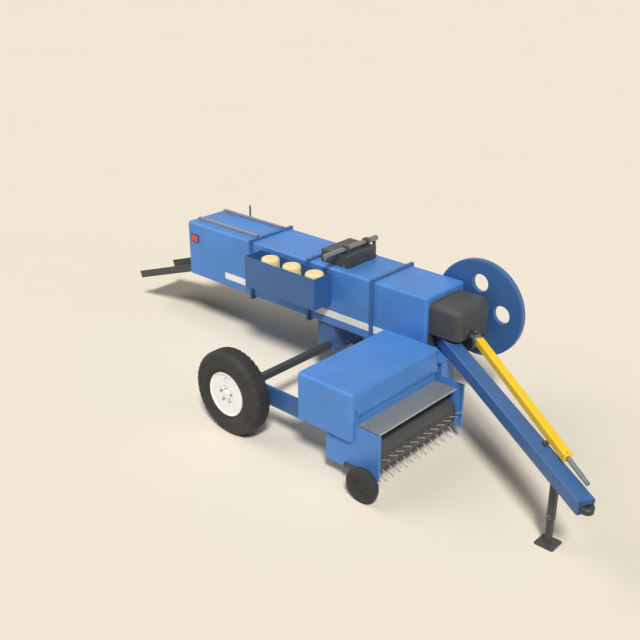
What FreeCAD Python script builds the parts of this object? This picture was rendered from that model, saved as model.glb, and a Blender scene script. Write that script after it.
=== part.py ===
"""Trailed small square hay baler, built in millimetres.

The machine is drawn with +X towards the tractor, +Y to its left and +Z up. While it is
drawn, the origin is on the ground under the middle of the bale case's width, below the
axle. Every piece is moved at the end, so that the origin lies on the ground at the
middle of the machine's plan.
"""
import FreeCAD, Part

import math
import os

from FreeCAD import Vector

# ---------------------------------------------------------------- driving dimensions
RUN_FIT = 0.05            # radial clearance of a shaft in its bore
CLEAR = 6.0               # gap between pieces that move past each other

# Bale case
CASE_REAR_X = -2032.0
CASE_FRONT_X = 1157.0
CASE_WIDTH = 579.0
CASE_HEIGHT = 602.0
CASE_BOTTOM_Z = 624.0
CASE_WALL = 6.0
CASE_EDGE_R = 24.0
CASE_SEAM = 46.0          # height of the turned edges of roof and floor
FRONT_PAN_DEPTH = 60.0

# Feed opening from the feeder housing into the case
FEED_X = (840.0, 1010.0)
FEED_Z = (668.0, 776.0)

# Hoops round the case
HOOP_X = (-1056.0, -256.0, 545.0)
HOOP_WIDTH = 38.0
HOOP_DEPTH = 22.0
HOOP_EDGE_R = 6.0

# Bale tension rails and their hand rod
RAIL_X = (-1980.0, -1075.0)
RAIL_Y = (-175.0, 190.0)
RAIL_WIDTH = 34.0
RAIL_HEIGHT = 36.0
RAIL_WALL = 5.0
ROD_X = -1690.0
ROD_R = 9.0
ROD_TOP_Z = 1337.0
ROD_BOTTOM_Z = 1000.0
ROD_STANDOFF = 16.0

# Knotter
KNOTTER_X = (-163.0, 180.0)
KNOTTER_Y = (-213.0, 210.0)
KNOTTER_HEIGHT = 129.0
KNOTTER_EDGE_R = 14.0
KNOTTER_SHAFT_X = 92.0
KNOTTER_SHAFT_R = 28.0
KNOTTER_SHAFT_Y = (-436.0, 305.0)
KNOTTER_SHAFT_WALL = 6.0
KNOTTER_BEARING_Y = (-150.0, 150.0)
KNOTTER_BEARING_WIDTH = 34.0

# Twine box
TWINE_X = (-878.0, 58.0)
TWINE_DEPTH = 238.5       # outwards from the hoops
TWINE_Z = (869.0, 1186.0)
TWINE_WALL = 5.0
TWINE_BALL_X = (-636.0, -346.0, -48.0)
TWINE_BALL_R = 92.0
TWINE_BALL_TOP_Z = 1203.0
TWINE_BALL_EDGE = 20.0

# Axle and wheels
AXLE_Z = 400.0
AXLE_SIDE = 60.0
TYRE_R = 400.0
TYRE_WIDTH = 196.0
TYRE_WALL = 20.0
RIM_R = 208.0
RIGHT_WHEEL_Y = -1555.0
LEFT_WHEEL_GAP = 45.5     # from the hoops to the left tyre
SPINDLE_R = 22.0
HUB_R = 62.0
HUB_LENGTH = 172.0
HUB_CAP = 12.0
DISC_INSET = 20.0
DISC_THICK = 8.0
LEG_X = (-158.0, 60.0)
LEG_HALF_WIDTH = 262.0
LEG_BOTTOM_Z = 342.0
LEG_WALL = 8.0

# Outer arm from the axle to the feeder housing
ARM_Y = (-1400.0, -1372.0)
ARM_REAR_X = -70.0
ARM_Z = (311.0, 490.0)
ARM_WALL = 6.0

# Feeder housing
HOUSING_X = (803.0, 1387.0)
HOUSING_RIGHT_Y = -1551.5
HOUSING_LEFT_Y = -385.0
HOUSING_Z = (437.0, 869.0)
HOUSING_WALL = 4.0
HOUSING_EDGE_R = 34.0
MOUTH_REAR_X = 1160.0
MOUTH_TOP_Z = 700.0
SIDE_CUT_TOP_Z = 640.0     # of the notch in the left end for the reel

# Feeder auger
AUGER_X = 1050.0
AUGER_Z = 655.0
AUGER_R = 165.0
AUGER_CORE_R = 48.0
AUGER_FLIGHT = 5.0
AUGER_PITCH = 340.0
AUGER_SHAFT_R = 20.0

# Pickup
PIVOT_X = 1130.0
PIVOT_Z = 398.0
PIVOT_R = 18.0
PANEL_X = (1085.0, 1643.0)
PANEL_Z = (156.0, 582.0)
PANEL_OUTER_Y = -1512.5
PANEL_INNER_Y = -346.0
PANEL_SHEET = 5.0
PANEL_FLANGE = 25.0
SHIELD_X = 1375.0
CROSS_TUBE_X = (1092.0, 1132.0)
CROSS_TUBE_Z = (180.0, 220.0)
CROSS_TUBE_WALL = 4.0
GUARD_Y = (-1456.0, -406.0)
GUARD_Z = 545.0
GUARD_FRONT_X = 1600.0
GUARD_SHEET = 5.0
REEL_X = 1425.0
REEL_Z = 280.0
REEL_R = 168.0
REEL_WALL = 4.0
REEL_SHAFT_R = 17.5
TINE_R = 5.0
TINE_ROOT_SINK = 2.0      # of the root inside the drum's radius, cut off flush
TINE_TIP_R = 257.2391     # of the circle that the tips run on
TINE_SWEEP = 17.4         # from the radius, forwards
TINE_ROWS = 6
TINE_COUNT = 12
TINE_Y = (-1415.0, -390.0)
TINE_ROW_ANGLE = 6.0
GAUGE_X = 1570.0
GAUGE_R = 153.0
GAUGE_Y = (-1660.0, -1584.0)
GAUGE_AXLE_R = 12.0

# Gearbox and flywheel
GEARBOX_X = (1157.0, 1480.0)
GEARBOX_Y = (-246.0, 250.0)
GEARBOX_TOP_Z = 1172.0
GEARBOX_FOOT = 11.0       # of the gearbox below the frame's plate
GEARBOX_STEP_Y = -12.0
GEARBOX_FLANGE = 21.0     # behind the drawbar's tail
GEARBOX_EDGE_R = 60.0
FLYWHEEL_X = 1310.0
FLYWHEEL_Z = 996.0
FLYWHEEL_R = 463.0
FLYWHEEL_GAP = 18.5       # from the case's left side
FLYWHEEL_WIDTH = 48.0
FLYWHEEL_HOLE_R = 86.0
FLYWHEEL_HOLE_PITCH_R = 245.0
FLYWHEEL_HOLES = 4
FLYWHEEL_SHAFT_R = 32.0

# Drawbar: its centre line runs from the swing pin to the hitch
SWING_X = 1310.0
SWING_Y = -151.0
SWING_Z = 808.0
SWING_PIN_R = 20.0
DRAWBAR_YAW = -29.8
DRAWBAR_PITCH = 5.4
DRAWBAR_TAIL = 105.0
DRAWBAR_LENGTH = 2289.0
DRAWBAR_WIDTH = 138.0
DRAWBAR_HEIGHT = 122.0
DRAWBAR_WALL = 8.0
DRAWBAR_EDGE_R = 12.0
SWING_GAP_LOW = 20.0      # from the drawbar to the frame below it, for its slope
SWING_GAP_TOP = 16.0      # from the drawbar to the gearbox above it
SWING_PIN_SEAT = 30.0     # of the pin in the gearbox
SLEEVE_R = 36.0
SLEEVE_DROP = 1.5         # of the swing sleeve below the drawbar's lower face
SPACER_R = 30.0           # of the ring that the sleeve turns on
PLATE = 12.0
FRAME_PLATE_FRONT_X = 1400.0
FRAME_BOX_Y = (-335.0, -149.0)
FRAME_NECK_Z = 664.0
EYE_OUTER_R = 52.0
EYE_BORE_R = 17.0
EYE_HEIGHT = 52.0
EYE_REACH = 18.0

# Parking jack
JACK_REACH = 1895.0       # along the drawbar from the swing pin
JACK_SIDE = 50.0
JACK_WALL = 3.5
JACK_SLEEVE_BOTTOM_Z = 212.0
JACK_LEG_SIDE = 42.4
JACK_FOOT = (160.0, 156.0)
JACK_FOOT_THICK = 10.0
JACK_FOOT_R = 16.0

# Drive shaft to the tractor
JOINT_X = 1560.0
JOINT_Y = -103.5
JOINT_Z = 935.7
SHAFT_YAW = -32.86
SHAFT_PITCH = 6.4
SHAFT_R = 19.0
SHAFT_END_R = 17.46       # the 1 3/8 inch end
SHAFT_END_LENGTH = 76.0
SHAFT_LENGTH = 2012.0
TUBE_START = 88.0
TUBE_END = 1716.0
TUBE_SIDE = 70.0
TUBE_WALL = 4.0
YOKE_R = 27.0
YOKE_REACH = 50.0
YOKE_EAR_IN = 29.0
YOKE_EAR_OUT = 40.0
YOKE_EAR_HALF = 15.0
CROSS_R = 20.0
INPUT_R = 24.0
REST_REACH = 1650.0       # of the drive shaft's rest along the drawbar

# Bale chute
CHUTE_HINGE_X = -2060.0
CHUTE_HINGE_Z = 626.0
CHUTE_PIN_R = 8.0
CHUTE_BARREL_R = 14.0
CHUTE_LENGTH = 1000.0
CHUTE_HALF_WIDTH = 250.0
CHUTE_SHEET = 5.0
CHUTE_RAIL = 78.0
CHUTE_SLOPE = 19.1

# Plunger
PLUNGER_FACE_X = 1024.0
PLUNGER_DEPTH = 110.0
PLUNGER_CLEAR = 8.0

# Reflectors
REFLECTOR_X = (-1985.0, -1882.0)
REFLECTOR_Z = (1022.0, 1092.0)
REFLECTOR_THICK = 8.0

# ---------------------------------------------------------------- derived sizes
CASE_SIDE_Y = CASE_WIDTH / 2
CASE_TOP_Z = CASE_BOTTOM_Z + CASE_HEIGHT
HOOP_Y = CASE_SIDE_Y + HOOP_DEPTH
TWINE_OUTER_Y = -(HOOP_Y + TWINE_DEPTH)
FLYWHEEL_Y = (CASE_SIDE_Y + FLYWHEEL_GAP, CASE_SIDE_Y + FLYWHEEL_GAP + FLYWHEEL_WIDTH)
LEFT_WHEEL_Y = HOOP_Y + LEFT_WHEEL_GAP + TYRE_WIDTH / 2
RIGHT_WHEEL_IN_Y = RIGHT_WHEEL_Y + TYRE_WIDTH / 2
LEFT_WHEEL_IN_Y = LEFT_WHEEL_Y - TYRE_WIDTH / 2
PICKUP_RIGHT_IN_Y = PANEL_OUTER_Y + PANEL_FLANGE
PICKUP_LEFT_IN_Y = PANEL_INNER_Y - PANEL_FLANGE
PICKUP_MID_Y = (PANEL_OUTER_Y + PANEL_INNER_Y) / 2
TINE_ROOT_R = REEL_R - TINE_ROOT_SINK
TINE_LENGTH = (math.sqrt(TINE_TIP_R ** 2 - (TINE_ROOT_R * math.sin(math.radians(TINE_SWEEP))) ** 2)
               - TINE_ROOT_R * math.cos(math.radians(TINE_SWEEP)))
KNOTTER_SHAFT_Z = CASE_TOP_Z + KNOTTER_HEIGHT + KNOTTER_SHAFT_R + CLEAR
FRAME_PLATE_TOP_Z = SWING_Z - DRAWBAR_HEIGHT / 2 - SWING_GAP_LOW
GEARBOX_Z = (FRAME_PLATE_TOP_Z - GEARBOX_FOOT, GEARBOX_TOP_Z)
GEARBOX_STEP_Z = SWING_Z + DRAWBAR_HEIGHT / 2 + SWING_GAP_TOP
SWING_SLOPE = math.radians(DRAWBAR_PITCH)
SLEEVE_LOW_Z = (SWING_Z - DRAWBAR_HEIGHT / 2 / math.cos(SWING_SLOPE)
                - SLEEVE_R * math.tan(SWING_SLOPE) - SLEEVE_DROP)

X_AXIS = Vector(1, 0, 0)
Y_AXIS = Vector(0, 1, 0)
Z_AXIS = Vector(0, 0, 1)


# ---------------------------------------------------------------- shape helpers
def block(x, y, z):
    """A box between the low and high limits of each direction."""
    size = (x[1] - x[0], y[1] - y[0], z[1] - z[0])
    return Part.makeBox(*size, Vector(x[0], y[0], z[0]))


def rod(start, direction, radius, length):
    """A round bar."""
    return Part.makeCylinder(radius, length, start, direction)


def tube(start, direction, outer, inner, length):
    """A round tube."""
    return rod(start, direction, outer, length).cut(rod(start, direction, inner, length))


def edges_along(shape, axis):
    """The straight edges of a shape that run along an axis."""
    found = []
    for edge in shape.Edges:
        if not isinstance(edge.Curve, Part.Line):
            continue
        run = edge.Vertexes[-1].Point.sub(edge.Vertexes[0].Point)
        if run.Length > 1e-6 and abs(abs(run.normalize().dot(axis)) - 1) < 1e-6:
            found.append(edge)
    return found


def round_edges(shape, radius, wanted):
    """Round the edges that a test picks."""
    return shape.makeFillet(radius, [edge for edge in shape.Edges if wanted(edge)])


def prism(points, direction):
    """Extrude a closed outline of points."""
    wire = Part.makePolygon(points + [points[0]])
    return Part.Face(wire).extrude(direction)


def side_plate(outline, y, thickness):
    """A plate square to Y, from its outline in X and Z."""
    points = [Vector(x, y, z) for x, z in outline]
    return prism(points, Vector(0, thickness, 0))


def turned(outline, centre):
    """Turn an outline of radius and width about an axle along Y."""
    points = [Vector(r, y, 0) for r, y in outline]
    face = Part.Face(Part.makePolygon(points + [points[0]]))
    solid = face.revolve(Vector(0, 0, 0), Y_AXIS, 360)
    solid.translate(centre)
    return solid


def joined(shapes):
    """Fuse touching shapes into one clean solid."""
    return shapes[0].multiFuse(shapes[1:]).removeSplitter()


def along(shape, place, yaw, pitch):
    """Move a shape drawn along +X to a place, and point it by yaw and nose-down pitch."""
    shape.rotate(Vector(0, 0, 0), Y_AXIS, pitch)
    shape.rotate(Vector(0, 0, 0), Z_AXIS, yaw)
    shape.translate(place)
    return shape


# ---------------------------------------------------------------- bale case
def case_ring():
    """The case's full sheet-metal section, with all four long edges rounded."""
    x = (CASE_REAR_X, CASE_FRONT_X - FRONT_PAN_DEPTH)
    outer = block(x, (-CASE_SIDE_Y, CASE_SIDE_Y), (CASE_BOTTOM_Z, CASE_TOP_Z))
    outer = outer.makeFillet(CASE_EDGE_R, edges_along(outer, X_AXIS))
    inside = CASE_SIDE_Y - CASE_WALL
    z = (CASE_BOTTOM_Z + CASE_WALL, CASE_TOP_Z - CASE_WALL)
    inner = block(x, (-inside, inside), z)
    inner = inner.makeFillet(CASE_EDGE_R - CASE_WALL, edges_along(inner, X_AXIS))
    return outer.cut(inner)


def case_panels():
    """Split the case's section into floor, roof and two walls."""
    ring = case_ring()
    x = (CASE_REAR_X, CASE_FRONT_X)
    low = CASE_BOTTOM_Z + CASE_SEAM
    high = CASE_TOP_Z - CASE_SEAM
    wide = (-CASE_SIDE_Y, CASE_SIDE_Y)
    floor = ring.common(block(x, wide, (CASE_BOTTOM_Z, low)))
    roof = ring.common(block(x, wide, (high, CASE_TOP_Z)))
    left = ring.common(block(x, (0, CASE_SIDE_Y), (low, high)))
    right = ring.common(block(x, (-CASE_SIDE_Y, 0), (low, high)))
    right = right.cut(block(FEED_X, (-CASE_SIDE_Y - 1, 0), FEED_Z))
    return floor, roof, left, right


def case_front_panel():
    """The pressed pan that closes the front of the case."""
    x = (CASE_FRONT_X - FRONT_PAN_DEPTH, CASE_FRONT_X)
    outer = block(x, (-CASE_SIDE_Y, CASE_SIDE_Y), (CASE_BOTTOM_Z, CASE_TOP_Z))

    def front_edge(edge):
        return edge.CenterOfMass.x > x[0] + 1

    outer = round_edges(outer, CASE_EDGE_R, front_edge)
    inside = CASE_SIDE_Y - CASE_WALL
    z = (CASE_BOTTOM_Z + CASE_WALL, CASE_TOP_Z - CASE_WALL)
    inner = block((x[0], x[1] - CASE_WALL), (-inside, inside), z)
    inner = round_edges(inner, CASE_EDGE_R - CASE_WALL, front_edge)
    return outer.cut(inner)


def hoop_posts():
    """The upright bars of the hoops, on both sides of the case."""
    z = (CASE_BOTTOM_Z - HOOP_DEPTH, CASE_TOP_Z + HOOP_DEPTH)
    posts = []
    for middle in HOOP_X:
        x = (middle - HOOP_WIDTH / 2, middle + HOOP_WIDTH / 2)
        for y in ((-HOOP_Y, -CASE_SIDE_Y), (CASE_SIDE_Y, HOOP_Y)):
            post = block(x, y, z)
            outer_edges = [edge for edge in edges_along(post, Z_AXIS)
                           if abs(edge.CenterOfMass.y) > CASE_SIDE_Y + 1]
            posts.append(post.makeFillet(HOOP_EDGE_R, outer_edges))
    return Part.Compound(posts)


def hoop_crossbars():
    """The bars of the hoops over the roof and under the floor."""
    bars = []
    for middle in HOOP_X:
        x = (middle - HOOP_WIDTH / 2, middle + HOOP_WIDTH / 2)
        y = (-CASE_SIDE_Y, CASE_SIDE_Y)
        over = block(x, y, (CASE_TOP_Z, CASE_TOP_Z + HOOP_DEPTH))
        top_edges = [edge for edge in edges_along(over, Y_AXIS)
                     if edge.CenterOfMass.z > CASE_TOP_Z + 1]
        bars.append(over.makeFillet(HOOP_EDGE_R, top_edges))
        bars.append(block(x, y, (CASE_BOTTOM_Z - HOOP_DEPTH, CASE_BOTTOM_Z)))
    return Part.Compound(bars)


def plunger():
    """The plunger block inside the case, with slots for the needles in its face."""
    half = CASE_SIDE_Y - CASE_WALL - PLUNGER_CLEAR
    x = (PLUNGER_FACE_X - PLUNGER_DEPTH / 2, PLUNGER_FACE_X + PLUNGER_DEPTH / 2)
    z = (CASE_BOTTOM_Z + CASE_WALL + PLUNGER_CLEAR, CASE_TOP_Z - CASE_WALL - PLUNGER_CLEAR)
    head = block(x, (-half, half), z)
    shapes = [head.makeFillet(CASE_EDGE_R, edges_along(head, X_AXIS))]
    for y in (-half + 60, half - 60):
        shapes.append(block(x, (y - 20, y + 20), (z[0] - PLUNGER_CLEAR + 0.3, z[0])))
    return joined(shapes)


def tension_rails():
    """Two steel channel rails, open side down, on the roof's rear end."""
    rails = []
    for y in RAIL_Y:
        outer = block(RAIL_X, (y - RAIL_WIDTH / 2, y + RAIL_WIDTH / 2),
                      (CASE_TOP_Z, CASE_TOP_Z + RAIL_HEIGHT))
        inside = RAIL_WIDTH / 2 - RAIL_WALL
        inner = block(RAIL_X, (y - inside, y + inside),
                      (CASE_TOP_Z, CASE_TOP_Z + RAIL_HEIGHT - RAIL_WALL))
        rails.append(outer.cut(inner))
    return Part.Compound(rails)


def tension_rod():
    """The upright hand rod on the left wall, in its two lugs."""
    y = CASE_SIDE_Y + ROD_STANDOFF
    shaft = rod(Vector(ROD_X, y, ROD_BOTTOM_Z), Z_AXIS, ROD_R, ROD_TOP_Z - ROD_BOTTOM_Z)
    shapes = [shaft]
    for z in (ROD_BOTTOM_Z + 20, CASE_TOP_Z - 80):
        x = (ROD_X - 20, ROD_X + 20)
        shapes.append(block(x, (CASE_SIDE_Y, y + ROD_R + 8), (z, z + 12)))
    return joined(shapes)


def reflectors():
    """Rear reflectors on both walls."""
    found = []
    for y in ((-CASE_SIDE_Y - REFLECTOR_THICK, -CASE_SIDE_Y),
              (CASE_SIDE_Y, CASE_SIDE_Y + REFLECTOR_THICK)):
        found.append(block(REFLECTOR_X, y, REFLECTOR_Z))
    return Part.Compound(found)


# ---------------------------------------------------------------- knotter
def knotter_cover():
    """The closed housing over the knotters."""
    shape = block(KNOTTER_X, KNOTTER_Y, (CASE_TOP_Z, CASE_TOP_Z + KNOTTER_HEIGHT))

    def upper(edge):
        return edge.CenterOfMass.z > CASE_TOP_Z + 1

    return round_edges(shape, KNOTTER_EDGE_R, upper)


def knotter_bearings():
    """The two bearing blocks that hold the knotter shaft on its cover."""
    top = CASE_TOP_Z + KNOTTER_HEIGHT
    reach = KNOTTER_SHAFT_R + 12
    blocks = []
    for middle in KNOTTER_BEARING_Y:
        y = (middle - KNOTTER_BEARING_WIDTH / 2, middle + KNOTTER_BEARING_WIDTH / 2)
        x = (KNOTTER_SHAFT_X - reach, KNOTTER_SHAFT_X + reach)
        body = block(x, y, (top, KNOTTER_SHAFT_Z))
        start = Vector(KNOTTER_SHAFT_X, y[0], KNOTTER_SHAFT_Z)
        body = body.fuse(rod(start, Y_AXIS, reach, KNOTTER_BEARING_WIDTH))
        bore = rod(start, Y_AXIS, KNOTTER_SHAFT_R + RUN_FIT, KNOTTER_BEARING_WIDTH)
        blocks.append(body.cut(bore).cut(knotter_cover()).removeSplitter())
    return Part.Compound(blocks)


def knotter_shaft():
    """The knotter drive tube, with the crank arm on its left end."""
    start = Vector(KNOTTER_SHAFT_X, KNOTTER_SHAFT_Y[0], KNOTTER_SHAFT_Z)
    length = KNOTTER_SHAFT_Y[1] - KNOTTER_SHAFT_Y[0]
    inner = KNOTTER_SHAFT_R - KNOTTER_SHAFT_WALL
    pipe = tube(start, Y_AXIS, KNOTTER_SHAFT_R, inner, length)
    arm_y = (KNOTTER_SHAFT_Y[1] - 34, KNOTTER_SHAFT_Y[1] - 18)
    x = (KNOTTER_SHAFT_X - 16, KNOTTER_SHAFT_X + 16)
    z = (KNOTTER_SHAFT_Z - 88, KNOTTER_SHAFT_Z - inner - 1)
    arm = block(x, arm_y, z)
    return joined([pipe, arm])


# ---------------------------------------------------------------- twine
def twine_box():
    """The open-topped sheet box on the right side, on its standoffs."""
    back = -HOOP_Y
    outer = block(TWINE_X, (TWINE_OUTER_Y, back), TWINE_Z)
    x = (TWINE_X[0] + TWINE_WALL, TWINE_X[1] - TWINE_WALL)
    y = (TWINE_OUTER_Y + TWINE_WALL, back - TWINE_WALL)
    box = outer.cut(block(x, y, (TWINE_Z[0] + TWINE_WALL, TWINE_Z[1])))
    shapes = [box]
    for place in (TWINE_X[0] + 40, TWINE_X[1] - 80):
        z = (TWINE_Z[0] + 60, TWINE_Z[0] + 120)
        shapes.append(block((place, place + 40), (back, -CASE_SIDE_Y), z))
    return joined(shapes)


def twine_balls():
    """Three wound packs of twine standing in the box."""
    y = (TWINE_OUTER_Y - HOOP_Y) / 2
    low = TWINE_Z[0] + TWINE_WALL
    packs = []
    for x in TWINE_BALL_X:
        pack = rod(Vector(x, y, low), Z_AXIS, TWINE_BALL_R, TWINE_BALL_TOP_Z - low)
        rims = [edge for edge in pack.Edges if isinstance(edge.Curve, Part.Circle)]
        packs.append(pack.makeChamfer(TWINE_BALL_EDGE, rims))
    return Part.Compound(packs)


# ---------------------------------------------------------------- running gear
def axle_leg():
    """The plate pedestal under the case that carries the axle."""
    y = (-LEG_HALF_WIDTH, LEG_HALF_WIDTH)
    z = (LEG_BOTTOM_Z, CASE_BOTTOM_Z)
    outer = block(LEG_X, y, z)
    x_in = (LEG_X[0] + LEG_WALL, LEG_X[1] - LEG_WALL)
    y_in = (y[0] + LEG_WALL, y[1] - LEG_WALL)
    shell = outer.cut(block(x_in, y_in, (z[0] - 1, z[1] - LEG_WALL)))
    return shell.cut(axle_beam())


def axle_beam():
    """The square axle between the wheels."""
    half = AXLE_SIDE / 2
    y = (RIGHT_WHEEL_IN_Y + CLEAR, LEFT_WHEEL_IN_Y - CLEAR)
    return block((-half, half), y, (AXLE_Z - half, AXLE_Z + half))


def wheel_hub_span(wheel_y, side):
    """Low and high Y of a wheel's hub; side is -1 on the right and 1 on the left."""
    inner = wheel_y - side * TYRE_WIDTH / 2
    outer = inner + side * HUB_LENGTH
    return min(inner, outer), max(inner, outer)


def axle_spindles():
    """The round spindles that the hubs turn on."""
    spindles = []
    for wheel_y, side in ((RIGHT_WHEEL_Y, -1), (LEFT_WHEEL_Y, 1)):
        start = wheel_y - side * (TYRE_WIDTH / 2 + CLEAR)
        length = CLEAR + HUB_LENGTH - HUB_CAP - CLEAR
        direction = Vector(0, side, 0)
        spindles.append(rod(Vector(0, start, AXLE_Z), direction, SPINDLE_R, length))
    return Part.Compound(spindles)


def tyre(wheel_y):
    """An open-bead tyre with a rounded shoulder."""
    half = TYRE_WIDTH / 2
    outline = [
        (RIM_R, -half + 16), (RIM_R + 30, -half + 6), (TYRE_R - 70, -half),
        (TYRE_R - 26, -half + 8), (TYRE_R - 6, -half + 26), (TYRE_R, -half + 60),
        (TYRE_R, half - 60), (TYRE_R - 6, half - 26), (TYRE_R - 26, half - 8),
        (TYRE_R - 70, half), (RIM_R + 30, half - 6), (RIM_R, half - 16),
        (RIM_R, half - 16 - TYRE_WALL), (RIM_R + 30, half - 6 - TYRE_WALL),
        (TYRE_R - 70, half - TYRE_WALL), (TYRE_R - 6 - TYRE_WALL, half - 40),
        (TYRE_R - 6 - TYRE_WALL, -half + 40), (TYRE_R - 70, -half + TYRE_WALL),
        (RIM_R + 30, -half + 6 + TYRE_WALL), (RIM_R, -half + 16 + TYRE_WALL),
    ]
    return turned(outline, Vector(0, wheel_y, AXLE_Z))


def rim(wheel_y, side):
    """A disc wheel with its hub; side points outwards along Y."""
    half = TYRE_WIDTH / 2
    low, high = wheel_hub_span(0, side)
    barrel = turned([(RIM_R - 5, -half + 10), (RIM_R, -half + 10),
                     (RIM_R, half - 10), (RIM_R - 5, half - 10)], Vector(0, 0, 0))
    face_y = side * (half - DISC_INSET)
    back_y = face_y - side * DISC_THICK
    disc = turned([(SPINDLE_R + 10, back_y), (RIM_R - 3, back_y),
                   (RIM_R - 3, face_y), (SPINDLE_R + 10, face_y)], Vector(0, 0, 0))
    hub = rod(Vector(0, low, 0), Y_AXIS, HUB_R, high - low)
    shape = joined([barrel, disc, hub])
    bore_start = low if side > 0 else high
    bore = rod(Vector(0, bore_start, 0), Vector(0, side, 0), SPINDLE_R + RUN_FIT,
               HUB_LENGTH - HUB_CAP)
    shape = shape.cut(bore)
    shape.translate(Vector(0, wheel_y, AXLE_Z))
    return shape


def outer_arm():
    """The box beam from the axle's right end to the feeder housing."""
    x = (ARM_REAR_X, HOUSING_X[0])
    outer = block(x, ARM_Y, ARM_Z)
    y_in = (ARM_Y[0] + ARM_WALL, ARM_Y[1] - ARM_WALL)
    z_in = (ARM_Z[0] + ARM_WALL, ARM_Z[1] - ARM_WALL)
    beam = outer.cut(block((x[0], x[1] - ARM_WALL), y_in, z_in))
    flange = block((x[1] - ARM_WALL, x[1]), (ARM_Y[0] - 25, ARM_Y[1] + 25),
                   (ARM_Z[0] + 60, ARM_Z[1] + 120))
    return joined([beam, flange]).cut(axle_beam())


# ---------------------------------------------------------------- feeder
def housing_box(inset):
    """The housing's body, set in all round; its upper and front edges are rounded."""
    x = (HOUSING_X[0] + inset, HOUSING_X[1] - inset)
    y = (HOUSING_RIGHT_Y + inset, HOUSING_LEFT_Y - inset)
    z = (HOUSING_Z[0] + inset, HOUSING_Z[1] - inset)

    def upper_or_front(edge):
        place = edge.CenterOfMass
        return place.x > x[0] + 1 and place.z > z[0] + 1

    return round_edges(block(x, y, z), HOUSING_EDGE_R - inset, upper_or_front)


def feed_duct(widen):
    """The duct from the housing to the case, widened by a wall's thickness."""
    x = (FEED_X[0] - widen, FEED_X[1] + widen)
    z = (FEED_Z[0] - widen, FEED_Z[1] + widen)
    return block(x, (HOUSING_LEFT_Y - HOUSING_WALL, -CASE_SIDE_Y), z)


def feed_housing():
    """The hollow feeder housing, open at its mouth and through its duct to the case."""
    wall = HOUSING_WALL
    shell = housing_box(0.0).fuse(feed_duct(wall)).cut(housing_box(wall))
    mouth = block((MOUTH_REAR_X, HOUSING_X[1] + 1),
                  (PANEL_OUTER_Y - CLEAR, HOUSING_LEFT_Y - wall - CLEAR),
                  (HOUSING_Z[0] - 1, MOUTH_TOP_Z))
    notch = block((MOUTH_REAR_X, HOUSING_X[1] + 1),
                  (HOUSING_LEFT_Y - wall - 2 * CLEAR, HOUSING_LEFT_Y + 1),
                  (HOUSING_Z[0] - 1, SIDE_CUT_TOP_Z))
    boss_y = HOUSING_RIGHT_Y + wall
    boss = rod(Vector(AUGER_X, boss_y, AUGER_Z), Y_AXIS, AUGER_SHAFT_R + 22, 30)
    shell = shell.cut(mouth).cut(notch).cut(feed_duct(0.0)).fuse(boss)
    bore = rod(Vector(AUGER_X, boss_y, AUGER_Z), Y_AXIS, AUGER_SHAFT_R + RUN_FIT, 40)
    return shell.cut(bore).removeSplitter()


def feed_auger():
    """The auger that carries the crop towards the case."""
    start = HOUSING_RIGHT_Y + HOUSING_WALL + 0.5
    core_start = start + 30 + CLEAR
    core_end = HOUSING_LEFT_Y - HOUSING_WALL - CLEAR
    shaft = rod(Vector(AUGER_X, start, AUGER_Z), Y_AXIS, AUGER_SHAFT_R, 80)
    core = rod(Vector(AUGER_X, core_start, AUGER_Z), Y_AXIS, AUGER_CORE_R, core_end - core_start)
    flight_length = core_end - core_start - 50
    helix = Part.makeHelix(AUGER_PITCH, flight_length, AUGER_CORE_R)
    profile = Part.makePolygon([
        Vector(AUGER_CORE_R - 3, 0, 0), Vector(AUGER_R, 0, 0),
        Vector(AUGER_R, 0, AUGER_FLIGHT), Vector(AUGER_CORE_R - 3, 0, AUGER_FLIGHT),
        Vector(AUGER_CORE_R - 3, 0, 0)])
    flight = Part.Wire(helix).makePipeShell([profile], True, True)
    flight.rotate(Vector(0, 0, 0), X_AXIS, -90)
    flight.translate(Vector(AUGER_X, core_start + 25, AUGER_Z))
    return joined([shaft, core, flight])


# ---------------------------------------------------------------- pickup
def pickup_pivot_shaft():
    """The cross shaft that the pickup lifts on, hung below the housing's floor."""
    y = (PANEL_OUTER_Y - 12, PANEL_INNER_Y + 12)
    shaft = rod(Vector(PIVOT_X, y[0], PIVOT_Z), Y_AXIS, PIVOT_R, y[1] - y[0])
    shapes = [shaft]
    for middle in (PICKUP_RIGHT_IN_Y + 60, PICKUP_MID_Y, PICKUP_LEFT_IN_Y - 60):
        hanger = block((PIVOT_X - 24, PIVOT_X + 24), (middle - 10, middle + 10),
                       (PIVOT_Z, HOUSING_Z[0]))
        ring = rod(Vector(PIVOT_X, middle - 10, PIVOT_Z), Y_AXIS, 24, 20)
        shapes += [hanger, ring]
    return joined(shapes)


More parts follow.
